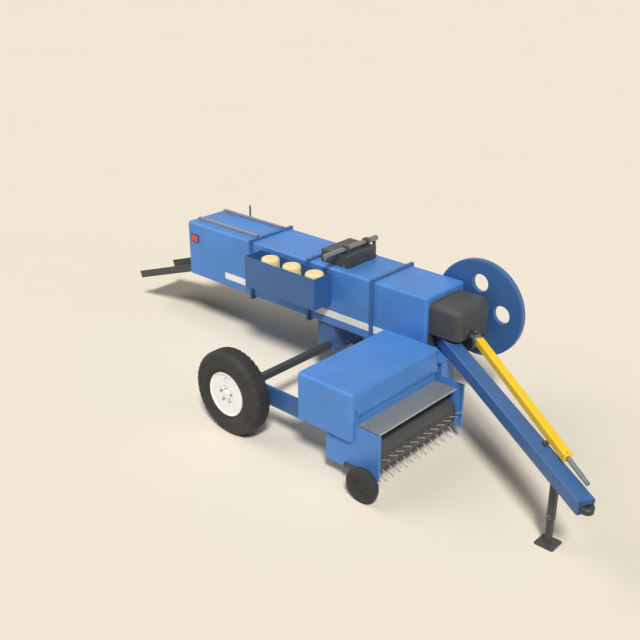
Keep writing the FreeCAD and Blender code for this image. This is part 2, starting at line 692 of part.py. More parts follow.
def pickup_panel(outer_y, inward):
    """A pickup end plate with its turned front flange; inward is the flange's side."""
    x0, x1 = PANEL_X
    z0, z1 = PANEL_Z
    under = HOUSING_Z[0] - 15
    outline = [(x0, z0), (x1, z0), (x1, z1), (MOUTH_REAR_X + 130, z1),
               (MOUTH_REAR_X + 14, under), (x0, under)]
    y = min(outer_y, outer_y + inward * PANEL_SHEET)
    plate = side_plate(outline, y, PANEL_SHEET)
    flange_y = sorted((outer_y, outer_y + inward * PANEL_FLANGE))
    flange = block((x1 - PANEL_SHEET, x1), flange_y, PANEL_Z)
    boss = rod(Vector(PIVOT_X, outer_y, PIVOT_Z), Vector(0, inward, 0), PIVOT_R + 12, 20)
    hub = rod(Vector(REEL_X, outer_y, REEL_Z), Vector(0, inward, 0), REEL_SHAFT_R + 28, 18)
    shape = joined([plate, flange, boss, hub])
    for x, z, r in ((PIVOT_X, PIVOT_Z, PIVOT_R), (REEL_X, REEL_Z, REEL_SHAFT_R)):
        start = Vector(x, outer_y - inward, z)
        shape = shape.cut(rod(start, Vector(0, inward, 0), r + RUN_FIT, 40))
    return shape


def pickup_left_panel():
    """The left end plate, with the cross tube that ties it to the right one."""
    y = (PANEL_OUTER_Y + PANEL_SHEET, PANEL_INNER_Y - PANEL_SHEET + 1)
    tube_outer = block(CROSS_TUBE_X, y, CROSS_TUBE_Z)
    wall = CROSS_TUBE_WALL
    tube_inner = block((CROSS_TUBE_X[0] + wall, CROSS_TUBE_X[1] - wall), (y[0], y[1] - 1),
                       (CROSS_TUBE_Z[0] + wall, CROSS_TUBE_Z[1] - wall))
    return joined([pickup_panel(PANEL_INNER_Y, -1), tube_outer.cut(tube_inner)])


def pickup_shield():
    """The throat plate that closes the housing's mouth above the wind guard."""
    y = (PANEL_OUTER_Y + PANEL_SHEET, HOUSING_LEFT_Y - HOUSING_WALL - 4 * CLEAR)
    return block((SHIELD_X - HOUSING_WALL, SHIELD_X), y, (GUARD_Z, MOUTH_TOP_Z + 12))


def windguard():
    """The steel wind guard over the reel."""
    y = GUARD_Y
    plate = block((SHIELD_X, GUARD_FRONT_X), y, (GUARD_Z, GUARD_Z + GUARD_SHEET))
    lip = rod(Vector(GUARD_FRONT_X, y[0], GUARD_Z + GUARD_SHEET / 2), Y_AXIS, 5, y[1] - y[0])
    return joined([plate, lip])


def reel_drum():
    """The pickup drum, its ends and its shaft."""
    y = (PICKUP_RIGHT_IN_Y + CLEAR, PICKUP_LEFT_IN_Y - CLEAR)
    shaft_y = (PANEL_OUTER_Y + 2, PANEL_INNER_Y - 2)
    start = Vector(REEL_X, y[0], REEL_Z)
    length = y[1] - y[0]
    shell = tube(start, Y_AXIS, REEL_R, REEL_R - REEL_WALL, length)
    ends = [rod(start, Y_AXIS, REEL_R - 1, REEL_WALL),
            rod(Vector(REEL_X, y[1] - REEL_WALL, REEL_Z), Y_AXIS, REEL_R - 1, REEL_WALL)]
    shaft = rod(Vector(REEL_X, shaft_y[0], REEL_Z), Y_AXIS, REEL_SHAFT_R,
                shaft_y[1] - shaft_y[0])
    return joined([shell, shaft] + ends)


def tine(start, out):
    """A hexagonal spring tine."""
    across = Y_AXIS.cross(out)
    corners = []
    for corner in range(6):
        turn = math.radians(60 * corner)
        offset = Y_AXIS * (TINE_R * math.cos(turn)) + across * (TINE_R * math.sin(turn))
        corners.append(start.add(offset))
    return prism(corners, out * TINE_LENGTH)


def reel_tines():
    """Rows of swept spring tines that stand out of the drum."""
    tines = []
    pitch = (TINE_Y[1] - TINE_Y[0]) / (TINE_COUNT - 1)
    for row in range(TINE_ROWS):
        root_angle = math.radians(TINE_ROW_ANGLE + 360 / TINE_ROWS * row)
        lean = root_angle + math.radians(TINE_SWEEP)
        root = Vector(math.cos(root_angle), 0, math.sin(root_angle)) * TINE_ROOT_R
        out = Vector(math.cos(lean), 0, math.sin(lean))
        for index in range(TINE_COUNT):
            start = Vector(REEL_X, TINE_Y[0] + index * pitch, REEL_Z).add(root)
            tines.append(tine(start, out))
    drum_y = Vector(REEL_X, PANEL_OUTER_Y, REEL_Z)
    drum = rod(drum_y, Y_AXIS, REEL_R, PANEL_INNER_Y - PANEL_OUTER_Y)
    return Part.Compound([piece.cut(drum) for piece in tines])


def gauge_arm():
    """The arm and stub axle of the gauge wheel."""
    y = (PANEL_OUTER_Y - 28, PANEL_OUTER_Y)
    arm = block((1300, GAUGE_X + 26), y, (176, 206))
    drop = rod(Vector(GAUGE_X, y[0], GAUGE_R), Y_AXIS, 26, 28)
    pin = rod(Vector(GAUGE_X, GAUGE_Y[0] + 10, GAUGE_R), Y_AXIS, GAUGE_AXLE_R,
              y[0] - GAUGE_Y[0] - 5)
    return joined([arm, drop, pin])


def gauge_wheel():
    """The solid gauge wheel."""
    middle = (GAUGE_Y[0] + GAUGE_Y[1]) / 2
    half = (GAUGE_Y[1] - GAUGE_Y[0]) / 2
    outline = [(GAUGE_AXLE_R + RUN_FIT, -half + 12), (40, -half + 12), (44, -half + 4),
               (GAUGE_R - 24, -half), (GAUGE_R - 6, -half + 8), (GAUGE_R, -half + 24),
               (GAUGE_R, half - 24), (GAUGE_R - 6, half - 8), (GAUGE_R - 24, half),
               (44, half - 4), (40, half - 4), (GAUGE_AXLE_R + RUN_FIT, half - 4)]
    return turned(outline, Vector(GAUGE_X, middle, GAUGE_R))


# ---------------------------------------------------------------- drive
def gearbox():
    """The main gearbox, stepped on its right side to let the drawbar pass below it."""
    outer = block(GEARBOX_X, GEARBOX_Y, GEARBOX_Z)
    step_y = (GEARBOX_Y[0] - 1, GEARBOX_STEP_Y)
    step = block((GEARBOX_X[0] + GEARBOX_FLANGE, GEARBOX_X[1] + 1), step_y,
                 (GEARBOX_Z[0] - 1, GEARBOX_STEP_Z))
    foot = block((GEARBOX_X[0] - 1, GEARBOX_X[1] + 1), step_y,
                 (GEARBOX_Z[0] - 1, FRAME_PLATE_TOP_Z))

    def rounded(edge):
        return edge.CenterOfMass.x > GEARBOX_X[0] + 1

    shape = round_edges(outer, GEARBOX_EDGE_R, rounded).cut(step).cut(foot)
    bore = rod(Vector(FLYWHEEL_X, GEARBOX_Y[1] - 90, FLYWHEEL_Z), Y_AXIS,
               FLYWHEEL_SHAFT_R + RUN_FIT, 100)
    seat = rod(Vector(GEARBOX_X[1] - 60, JOINT_Y, JOINT_Z), X_AXIS, INPUT_R + RUN_FIT, 70)
    pin = rod(Vector(SWING_X, SWING_Y, GEARBOX_STEP_Z - 1), Z_AXIS, SWING_PIN_R + RUN_FIT,
              SWING_PIN_SEAT + 2)
    return shape.cut(bore).cut(seat).cut(pin)


def flywheel():
    """The pierced flywheel on its shaft."""
    start = Vector(FLYWHEEL_X, FLYWHEEL_Y[0], FLYWHEEL_Z)
    disc = rod(start, Y_AXIS, FLYWHEEL_R, FLYWHEEL_Y[1] - FLYWHEEL_Y[0])
    for index in range(FLYWHEEL_HOLES):
        angle = math.radians(360 / FLYWHEEL_HOLES * index)
        x = FLYWHEEL_X + FLYWHEEL_HOLE_PITCH_R * math.cos(angle)
        z = FLYWHEEL_Z + FLYWHEEL_HOLE_PITCH_R * math.sin(angle)
        disc = disc.cut(rod(Vector(x, FLYWHEEL_Y[0] - 1, z), Y_AXIS, FLYWHEEL_HOLE_R, 100))
    shaft = rod(Vector(FLYWHEEL_X, GEARBOX_Y[1] - 85, FLYWHEEL_Z), Y_AXIS, FLYWHEEL_SHAFT_R,
                FLYWHEEL_Y[0] - GEARBOX_Y[1] + 95)
    return joined([disc, shaft])


def input_yoke():
    """The gearbox's input shaft and its universal joint yoke, with the joint's ball."""
    shaft = rod(Vector(-(JOINT_X - GEARBOX_X[1]) - 55, 0, 0), X_AXIS, INPUT_R,
                JOINT_X - GEARBOX_X[1] + 60 - YOKE_REACH)
    yoke = universal_yoke(Z_AXIS)
    ball = Part.makeSphere(CROSS_R)
    pin = rod(Vector(0, 0, -YOKE_EAR_IN - 1), Z_AXIS, 8, 2 * YOKE_EAR_IN + 2)
    shape = joined([shaft, yoke, ball, pin])
    shape.translate(Vector(JOINT_X, JOINT_Y, JOINT_Z))
    return shape


def universal_yoke(across):
    """A forked yoke whose hub lies behind the joint's centre on -X."""
    hub = rod(Vector(-YOKE_REACH - 14, 0, 0), X_AXIS, YOKE_R + 8, 18)
    shapes = [hub]
    for sign in (-1, 1):
        if across.z:
            low, high = sorted((sign * YOKE_EAR_IN, sign * YOKE_EAR_OUT))
            ear = block((-YOKE_REACH + 2, 0), (-YOKE_EAR_HALF, YOKE_EAR_HALF), (low, high))
        else:
            low, high = sorted((sign * YOKE_EAR_IN, sign * YOKE_EAR_OUT))
            ear = block((-YOKE_REACH + 2, 0), (low, high), (-YOKE_EAR_HALF, YOKE_EAR_HALF))
        tip = rod(across * (sign * YOKE_EAR_IN), across * sign, YOKE_EAR_HALF,
                  YOKE_EAR_OUT - YOKE_EAR_IN)
        foot = block((-YOKE_REACH - 10, -YOKE_REACH + 4), (-YOKE_EAR_HALF, YOKE_EAR_HALF),
                     (-YOKE_EAR_OUT, YOKE_EAR_OUT))
        if not across.z:
            foot.rotate(Vector(0, 0, 0), X_AXIS, 90)
        shapes += [ear, tip, foot]
    return joined(shapes)


def cross_pins():
    """The two pins that reach from the drive shaft's yoke to the joint's ball."""
    length = YOKE_EAR_IN - CROSS_R - 0.3
    return [rod(Vector(0, side * YOKE_EAR_IN + side, 0), Vector(0, -side, 0), 8, length + 1)
            for side in (-1, 1)]


def drive_shaft():
    """The drive shaft, with its yoke at the gearbox end."""
    yoke = joined([universal_yoke(Y_AXIS)] + cross_pins())
    yoke.rotate(Vector(0, 0, 0), Z_AXIS, 180)
    shoulder = SHAFT_LENGTH - SHAFT_END_LENGTH
    shaft = rod(Vector(YOKE_REACH, 0, 0), X_AXIS, SHAFT_R, shoulder - YOKE_REACH)
    tip = rod(Vector(shoulder, 0, 0), X_AXIS, SHAFT_END_R, SHAFT_END_LENGTH)
    return along(joined([yoke, shaft, tip]), Vector(JOINT_X, JOINT_Y, JOINT_Z),
                 SHAFT_YAW, SHAFT_PITCH)


def drive_guard():
    """The square guard tube over the drive shaft, with a bearing in each end."""
    half = TUBE_SIDE / 2
    x = (TUBE_START, TUBE_END)
    outer = block(x, (-half, half), (-half, half))
    outer = outer.makeChamfer(5, edges_along(outer, X_AXIS))
    inside = half - TUBE_WALL
    inner = block((x[0] + 20, x[1] - 20), (-inside, inside), (-inside, inside))
    bore = rod(Vector(x[0] - 1, 0, 0), X_AXIS, SHAFT_R + RUN_FIT, x[1] - x[0] + 2)
    shape = outer.cut(inner).cut(bore)
    return along(shape, Vector(JOINT_X, JOINT_Y, JOINT_Z), SHAFT_YAW, SHAFT_PITCH)


# ---------------------------------------------------------------- drawbar
def pivot_frame():
    """The frame in front of the case that holds the drawbar's swing pin."""
    low = FRAME_PLATE_TOP_Z
    under = low - PLATE
    plate = block((CASE_FRONT_X, FRAME_PLATE_FRONT_X), (HOUSING_LEFT_Y, SWING_Y + 92),
                  (under, low))
    x = (CASE_FRONT_X, HOUSING_X[1])
    box = block(x, FRAME_BOX_Y, (HOUSING_Z[0] + 20, under))
    inner = block((x[0], x[1] - 8), (FRAME_BOX_Y[0] + 8, FRAME_BOX_Y[1] - 8),
                  (HOUSING_Z[0] + 28, under - 8))
    neck = block((x[0], x[1] - HOUSING_EDGE_R), (HOUSING_LEFT_Y, FRAME_BOX_Y[0]),
                 (FRAME_NECK_Z, under))
    pin = rod(Vector(SWING_X, SWING_Y, under), Z_AXIS, SWING_PIN_R,
              GEARBOX_STEP_Z + SWING_PIN_SEAT - under)
    spacer = rod(Vector(SWING_X, SWING_Y, under), Z_AXIS, SPACER_R, SLEEVE_LOW_Z - 1 - under)
    return joined([plate, box.cut(inner), neck, pin, spacer])


def drawbar_solid():
    """The drawbar's box section, unhollowed and unpierced, drawn along +X."""
    half_w = DRAWBAR_WIDTH / 2
    half_h = DRAWBAR_HEIGHT / 2
    bar = block((-DRAWBAR_TAIL, DRAWBAR_LENGTH), (-half_w, half_w), (-half_h, half_h))
    return bar.makeFillet(DRAWBAR_EDGE_R, edges_along(bar, X_AXIS))


def beside_drawbar(shape):
    """A shape without the room that the drawbar's box section takes."""
    place = Vector(SWING_X, SWING_Y, SWING_Z)
    return shape.cut(along(drawbar_solid(), place, DRAWBAR_YAW, DRAWBAR_PITCH))


def drawbar():
    """The box-section drawbar with its swing sleeve, jack seat and end plate."""
    half_w = DRAWBAR_WIDTH / 2
    half_h = DRAWBAR_HEIGHT / 2
    x = (-DRAWBAR_TAIL, DRAWBAR_LENGTH)
    outer = drawbar_solid()
    inner = block((x[0] - 1, x[1] - 16),
                  (-half_w + DRAWBAR_WALL, half_w - DRAWBAR_WALL),
                  (-half_h + DRAWBAR_WALL, half_h - DRAWBAR_WALL))
    beam = outer.cut(inner)
    beam = along(beam, Vector(SWING_X, SWING_Y, SWING_Z), DRAWBAR_YAW, DRAWBAR_PITCH)
    low = SLEEVE_LOW_Z
    high = GEARBOX_STEP_Z - 1
    sleeve = rod(Vector(SWING_X, SWING_Y, low), Z_AXIS, SLEEVE_R, high - low)
    bore = rod(Vector(SWING_X, SWING_Y, low - 1), Z_AXIS, SWING_PIN_R + RUN_FIT,
               high - low + 2)
    return joined([beam, sleeve]).cut(bore)


def on_drawbar(reach, side=0.0, up=0.0):
    """A point at a reach along the drawbar from the swing pin."""
    point = Part.Vertex(reach, side, up)
    return along(point, Vector(SWING_X, SWING_Y, SWING_Z), DRAWBAR_YAW, DRAWBAR_PITCH).Point


def hitch_eye():
    """The hitch ring in the drawbar's front end."""
    ring = rod(Vector(EYE_REACH, 0, -EYE_HEIGHT / 2), Z_AXIS, EYE_OUTER_R, EYE_HEIGHT)
    ring = ring.makeChamfer(6, [e for e in ring.Edges if isinstance(e.Curve, Part.Circle)])
    cut = block((-EYE_OUTER_R - 50, 0), (-100, 100), (-100, 100))
    ring = ring.cut(cut)
    bore = rod(Vector(EYE_REACH, 0, -50), Z_AXIS, EYE_BORE_R, 100)
    ring = ring.cut(bore)
    return along(ring, on_drawbar(DRAWBAR_LENGTH), DRAWBAR_YAW, DRAWBAR_PITCH)


def shaft_rest():
    """The bracket on the drawbar that the drive shaft's guard lies on."""
    place = on_drawbar(REST_REACH, DRAWBAR_WIDTH / 2 - 25, DRAWBAR_HEIGHT / 2)
    run = (place.x - JOINT_X) * math.cos(math.radians(SHAFT_YAW))
    run += (place.y - JOINT_Y) * math.sin(math.radians(SHAFT_YAW))
    slope = math.radians(SHAFT_PITCH)
    guard_z = JOINT_Z - run * math.tan(slope) - TUBE_SIDE / 2 / math.cos(slope)
    pad = block((-20, 20), (-25, 60), (-8, 0))
    pad.rotate(Vector(0, 0, 0), Y_AXIS, SHAFT_PITCH)
    pad.translate(Vector(0, 0, guard_z - 0.4))
    post = block((-20, 20), (-25, -17), (place.z - 1, guard_z - 4))
    shape = joined([post, pad])
    shape.rotate(Vector(0, 0, 0), Z_AXIS, SHAFT_YAW)
    shape.translate(Vector(place.x, place.y, 0))
    return beside_drawbar(shape)


def jack_sleeve():
    """The jack's outer tube under the drawbar."""
    place = on_drawbar(JACK_REACH)
    top = place.z - DRAWBAR_HEIGHT / 2 - 8
    half = JACK_SIDE / 2
    inside = half - JACK_WALL
    outer = block((-half, half), (-half, half), (JACK_SLEEVE_BOTTOM_Z, top))
    inner = block((-inside, inside), (-inside, inside), (JACK_SLEEVE_BOTTOM_Z - 1, top - 8))
    collar = block((-half - 20, half + 20), (-half - 20, half + 20), (top, top + 16))
    shape = joined([outer.cut(inner), collar])
    shape.translate(Vector(place.x, place.y, 0))
    return beside_drawbar(shape)


def jack_leg():
    """The jack's inner tube and foot."""
    place = on_drawbar(JACK_REACH)
    half = JACK_LEG_SIDE / 2
    leg = block((-half, half), (-half, half), (JACK_FOOT_THICK, JACK_SLEEVE_BOTTOM_Z + 110))
    foot_x, foot_y = JACK_FOOT
    foot = block((-foot_x / 2, foot_x / 2), (-foot_y / 2, foot_y / 2), (0, JACK_FOOT_THICK))
    foot = foot.makeFillet(JACK_FOOT_R, edges_along(foot, Z_AXIS))
    shape = joined([leg, foot])
    shape.translate(Vector(place.x, place.y, 0))
    return shape


# ---------------------------------------------------------------- bale chute
def chute_hinge():
    """The chute's hinge pin and its lugs on the case floor."""
    pin = rod(Vector(CHUTE_HINGE_X, -CHUTE_HALF_WIDTH, CHUTE_HINGE_Z), Y_AXIS, CHUTE_PIN_R,
              2 * CHUTE_HALF_WIDTH)
    shapes = [pin]
    for y in (-150, 0, 150):
        shapes.append(rod(Vector(CHUTE_HINGE_X, y - 20, CHUTE_HINGE_Z), Y_AXIS,
                          CHUTE_BARREL_R, 40))
        lug = block((CHUTE_HINGE_X, CASE_REAR_X), (y - 20, y + 20),
                    (CHUTE_HINGE_Z - CHUTE_BARREL_R, CHUTE_HINGE_Z))
        foot = block((CHUTE_HINGE_X, CASE_REAR_X + 60), (y - 20, y + 20),
                     (CASE_BOTTOM_Z - 10, CASE_BOTTOM_Z))
        shapes += [lug, foot]
    return joined(shapes)


def bale_chute():
    """The tray that bales slide down, hinged below the case's rear end."""
    x = (-CHUTE_LENGTH, -26)
    half = CHUTE_HALF_WIDTH
    floor = block(x, (-half, half), (0, CHUTE_SHEET))
    shapes = [floor]
    for side in (-1, 1):
        y = sorted((side * half, side * (half - CHUTE_SHEET)))
        shapes.append(block(x, y, (0, CHUTE_RAIL)))
    for y in (-205, -75, 75, 205):
        low, high = y - 20, y + 20
        barrel = tube(Vector(0, low, 0), Y_AXIS, CHUTE_BARREL_R, CHUTE_PIN_R + RUN_FIT, 40)
        strap = block((-60, -CHUTE_PIN_R - 3), (low, high), (0, CHUTE_SHEET))
        shapes += [barrel, strap]
    shape = joined(shapes)
    shape.rotate(Vector(0, 0, 0), Y_AXIS, -CHUTE_SLOPE)
    shape.translate(Vector(CHUTE_HINGE_X, 0, CHUTE_HINGE_Z))
    return shape


# ---------------------------------------------------------------- the whole machine
def machine():
    """Every piece by its name."""
    floor, roof, left, right = case_panels()
    return {
        "case_floor": floor,
        "case_roof": roof,
        "case_left_wall": left,
        "case_right_wall": right,
        "case_front_panel": case_front_panel(),
        "hoop_posts": hoop_posts(),
        "hoop_crossbars": hoop_crossbars(),
        "plunger": plunger(),
        "tension_rails": tension_rails(),
        "tension_rod": tension_rod(),
        "reflectors": reflectors(),
        "knotter_cover": knotter_cover(),
        "knotter_bearings": knotter_bearings(),
        "knotter_shaft": knotter_shaft(),
        "twine_box": twine_box(),
        "twine_balls": twine_balls(),
        "axle_leg": axle_leg(),
        "axle_beam": axle_beam(),
        "axle_spindles": axle_spindles(),
        "right_tyre": tyre(RIGHT_WHEEL_Y),
        "right_rim": rim(RIGHT_WHEEL_Y, -1),
        "left_tyre": tyre(LEFT_WHEEL_Y),
        "left_rim": rim(LEFT_WHEEL_Y, 1),
        "outer_arm": outer_arm(),
        "feed_housing": feed_housing(),
        "feed_auger": feed_auger(),
        "pickup_pivot_shaft": pickup_pivot_shaft(),
        "pickup_right_panel": pickup_panel(PANEL_OUTER_Y, 1),
        "pickup_left_panel": pickup_left_panel(),
        "pickup_shield": pickup_shield(),
        "windguard": windguard(),
        "reel_drum": reel_drum(),
        "reel_tines": reel_tines(),
        "gauge_arm": gauge_arm(),
        "gauge_wheel": gauge_wheel(),
        "gearbox": gearbox(),
        "flywheel": flywheel(),
        "input_yoke": input_yoke(),
        "drive_shaft": drive_shaft(),
        "drive_guard": drive_guard(),
        "pivot_frame": pivot_frame(),
        "drawbar": drawbar(),
        "hitch_eye": hitch_eye(),
        "shaft_rest": shaft_rest(),
        "jack_sleeve": jack_sleeve(),
        "jack_leg": jack_leg(),
        "chute_hinge": chute_hinge(),
        "bale_chute": bale_chute(),
    }


def pivots():
    """The places that joints and mounts are measured from."""
    eye = on_drawbar(DRAWBAR_LENGTH + EYE_REACH)
    return {
        "axle": Vector(0, 0, AXLE_Z),
        "knotter_shaft": Vector(KNOTTER_SHAFT_X, 0, KNOTTER_SHAFT_Z),
        "auger": Vector(AUGER_X, PICKUP_MID_Y, AUGER_Z),
        "pickup_pivot": Vector(PIVOT_X, PICKUP_MID_Y, PIVOT_Z),
        "reel": Vector(REEL_X, PICKUP_MID_Y, REEL_Z),
        "gauge_wheel": Vector(GAUGE_X, GAUGE_Y[0], GAUGE_R),
        "flywheel": Vector(FLYWHEEL_X, FLYWHEEL_Y[0], FLYWHEEL_Z),
        "swing_pin": Vector(SWING_X, SWING_Y, SWING_Z),
        "universal_joint": Vector(JOINT_X, JOINT_Y, JOINT_Z),
        "chute_hinge": Vector(CHUTE_HINGE_X, 0, CHUTE_HINGE_Z),
        "jack": on_drawbar(JACK_REACH),
        "hitch_eye": eye,
    }


def main():
    """Build, move to the machine's own frame and write each piece."""
    os.makedirs("parts", exist_ok=True)
    pieces = machine()
    extent = Part.Compound(list(pieces.values())).optimalBoundingBox(False)
    shift = Vector(-extent.Center.x, -extent.Center.y, 0)
    for name, shape in pieces.items():
        shape.translate(shift)
        shape.exportStep("parts/" + name + ".step")
    print("shift", round(shift.x, 3), round(shift.y, 3))
    for name, place in pivots().items():
        place = place.add(shift)
        print("pivot", name, round(place.x, 3), round(place.y, 3), round(place.z, 3))


main()
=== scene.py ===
"""Looks of the trailed square hay baler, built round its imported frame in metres.

+X points to the tractor, +Y to the machine's left and +Z up. Places come from the boxes
of the frame's nodes where these give them, and most others repeat part.py's numbers.
"""
import math
import random

import bmesh
import bpy
from mathutils import Matrix, Vector


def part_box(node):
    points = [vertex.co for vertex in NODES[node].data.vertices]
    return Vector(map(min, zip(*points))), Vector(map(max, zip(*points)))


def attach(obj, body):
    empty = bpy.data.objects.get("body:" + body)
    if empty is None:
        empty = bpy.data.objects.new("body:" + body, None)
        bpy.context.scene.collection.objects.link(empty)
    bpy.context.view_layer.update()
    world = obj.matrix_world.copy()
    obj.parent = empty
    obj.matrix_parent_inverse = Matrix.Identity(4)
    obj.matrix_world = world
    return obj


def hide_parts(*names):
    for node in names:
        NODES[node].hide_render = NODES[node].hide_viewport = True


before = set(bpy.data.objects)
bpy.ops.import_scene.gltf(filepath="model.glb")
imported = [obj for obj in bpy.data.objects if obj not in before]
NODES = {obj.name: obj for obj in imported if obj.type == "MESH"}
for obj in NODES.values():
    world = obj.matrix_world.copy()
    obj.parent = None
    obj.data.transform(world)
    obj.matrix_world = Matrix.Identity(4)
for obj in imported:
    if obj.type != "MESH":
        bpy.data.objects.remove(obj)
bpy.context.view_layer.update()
RANDOM = random.Random(7)

X = Vector((1, 0, 0))
Y = Vector((0, 1, 0))
Z = Vector((0, 0, 1))
MM = 0.001

# ------------------------------------------------ colours
BODY_BLUE = (75, 138, 215)
FRAME_BLUE = (57, 103, 163)
DARK_GREY = (62, 66, 70)
CAST_GREY = (70, 72, 74)
STEEL = (150, 152, 156)
DARK_STEEL = (70, 72, 77)
RUBBER = (50, 51, 52)
RIM_WHITE = (248, 251, 252)
STRIPE_WHITE = (255, 254, 250)
GUARD_YELLOW = (255, 211, 36)
STRAW = (254, 236, 178)
RED = (214, 60, 50)
CREAM = (242, 232, 213)
FLOOR = (241, 232, 215)
SOIL = (150, 134, 110)
RUST = (120, 84, 60)
BARE_METAL = (120, 124, 130)
WORN_WHITE = (150, 140, 124)
WORN_CASTING = (128, 128, 130)
RUBBER_BLOOM = (128, 118, 104)
STRAW_SHADE = (240, 214, 152)
STRAW_FIBRE = (255, 246, 212)
DRAWN_BAR = (150, 158, 172)
DULL_SHAFT = (122, 130, 136)
TURNED_SHAFT = (132, 136, 146)
PLATE = (152, 152, 150)
# painted highlight: the wind guard's real rolled lip gets a lighter steel than its plate, for
# the light line along its front edge
LIP_PAINTED_HIGHLIGHT = (184, 187, 188)
DRUM_GREY = (64, 67, 70)
TINE_STEEL = (186, 183, 177)
ZINC = (168, 170, 172)
BLACK = (52, 52, 54)


def linear(rgb):
    """A display colour of 0 to 255 as a linear RGBA colour."""
    values = []
    for value in rgb:
        c = value / 255
        values.append(c / 12.92 if c <= 0.04045 else ((c + 0.055) / 1.055) ** 2.4)
    return (*values, 1.0)


def shade(rgb, share, lift=0.0):
    """A display colour made darker or lighter, as a linear colour."""
    return linear([min(255, value * share + lift) for value in rgb])


# ------------------------------------------------ materials
class Graph:
    """A material's node tree, with short calls for its nodes."""

    def __init__(self, name):
        self.material = bpy.data.materials.new(name)
        self.material.use_nodes = True
        self.tree = self.material.node_tree
        self.shader = self.tree.nodes["Principled BSDF"]
        coordinates = self.tree.nodes.new("ShaderNodeTexCoord")
        self.place = coordinates.outputs["Object"]

    def node(self, kind, inputs=None, **settings):
        """Add a node; a socket value is linked, and a plain value is set."""
        node = self.tree.nodes.new(kind)
        for key, value in settings.items():
            setattr(node, key, value)
        for key, value in (inputs or {}).items():
            if isinstance(value, bpy.types.NodeSocket):
                self.tree.links.new(value, node.inputs[key])
            else:
                node.inputs[key].default_value = value
        return node

    def scaled(self, scale):
        """The object's coordinates, stretched by a scale of three numbers."""
        return self.node("ShaderNodeVectorMath", {0: self.place, 1: scale},
                         operation="MULTIPLY").outputs[0]

    def noise(self, scale, detail=4.0, rough=0.55, place=None):
        """Noise from 0 to 1."""
        node = self.node("ShaderNodeTexNoise", {"Vector": place or self.place, "Scale": scale,
                                                "Detail": detail, "Roughness": rough})
        return node.outputs["Fac"]

    def ramp(self, value, low, high, to_low=0.0, to_high=1.0):
        """Map a range of values to another, clamped."""
        node = self.node("ShaderNodeMapRange", {"Value": value, "From Min": low,
                                                "From Max": high, "To Min": to_low,
                                                "To Max": to_high})
        return node.outputs["Result"]

    def math(self, operation, a, b=0.0):
        """One arithmetic step."""
        return self.node("ShaderNodeMath", {0: a, 1: b}, operation=operation).outputs[0]

    def mix(self, factor, a, b):
        """Mix two colours."""
        node = self.node("ShaderNodeMix", {0: factor, 6: a, 7: b}, data_type="RGBA")
        return node.outputs[2]

    def edges(self, radius):
        """A mask of 1 on sharp outer edges and 0 on flats."""
        bevel = self.node("ShaderNodeBevel", {"Radius": radius}, samples=4).outputs[0]
        flat = self.node("ShaderNodeNewGeometry").outputs["Normal"]
        dot = self.node("ShaderNodeVectorMath", {0: bevel, 1: flat},
                        operation="DOT_PRODUCT").outputs["Value"]
        return self.ramp(dot, 0.97, 0.80)

    def height(self):
        """The object's Z coordinate."""
        return self.node("ShaderNodeSeparateXYZ", {0: self.place}).outputs["Z"]

    def bump(self, value, distance, strength=0.5):
        """Raise the surface by a value."""
        node = self.node("ShaderNodeBump", {"Height": value, "Distance": distance,
                                            "Strength": strength})
        self.link(node.outputs["Normal"], "Normal")

    def link(self, socket, name):
        """Link a socket to an input of the shader."""
        self.tree.links.new(socket, self.shader.inputs[name])

    def fixed(self, **values):
        """Set values that are the same all over the surface."""
        for name, value in values.items():
            self.shader.inputs[name.replace("_", " ")].default_value = value


def paint(name, rgb, rough=0.54, wear=BARE_METAL, worn=0.12, dust=0.08, grain=420.0):
    """Sprayed enamel: cloudy shade, chipped edges, orange peel and dust low down."""
    g = Graph(name)
    base = linear(rgb)
    deep = shade(rgb, 0.93)
    colour = g.mix(g.ramp(g.noise(2.3, 5.0), 0.35, 0.7), deep, base)
    streak = g.ramp(g.noise(9.0, 6.0, 0.6, g.scaled((1.0, 1.0, 0.16))), 0.56, 0.78, 0.0, 0.10)
    colour = g.mix(streak, colour, shade(rgb, 1.12, 8))
    chips = g.ramp(g.noise(70.0, 6.0, 0.7), 0.50, 0.60)
    edge = g.math("MULTIPLY", g.edges(0.004), g.math("MULTIPLY", chips, worn))
    colour = g.mix(edge, colour, linear(wear))
    low = g.ramp(g.height(), 0.75, 0.05)
    dirt = g.math("MULTIPLY", low, g.ramp(g.noise(6.0, 7.0, 0.65), 0.38, 0.72, 0.0, dust))
    colour = g.mix(dirt, colour, linear(SOIL))
    g.link(colour, "Base Color")
    matt = g.math("ADD", g.ramp(g.noise(14.0, 6.0), 0.3, 0.7, rough - 0.06, rough + 0.08),
                  g.math("MULTIPLY", dirt, 0.6))
    g.link(matt, "Roughness")
    g.fixed(Coat_Weight=0.25, Coat_Roughness=0.3, Specular_IOR_Level=0.4)
    g.bump(g.noise(grain, 2.0), 0.0004, 0.25)
    return g.material


def steel(name, rgb, rough=0.38, metallic=0.85, along=(1.0, 30.0, 30.0), rust=0.25):
    """Worn bare steel, with fine scratches along its length and rust specks."""
    g = Graph(name)
    lines = g.noise(60.0, 5.0, 0.6, g.scaled(along))
    colour = g.mix(g.ramp(lines, 0.3, 0.7), shade(rgb, 0.86), shade(rgb, 1.15))
    specks = g.ramp(g.noise(34.0, 9.0, 0.72), 0.60, 0.74, 0.0, rust)
    colour = g.mix(specks, colour, linear(RUST))
    g.link(colour, "Base Color")
    g.link(g.math("ADD", g.ramp(lines, 0.2, 0.8, rough - 0.08, rough + 0.1),
                  g.math("MULTIPLY", specks, 0.8)), "Roughness")
    g.fixed(Metallic=metallic)
    g.bump(lines, 0.0004, 0.2)
    return g.material


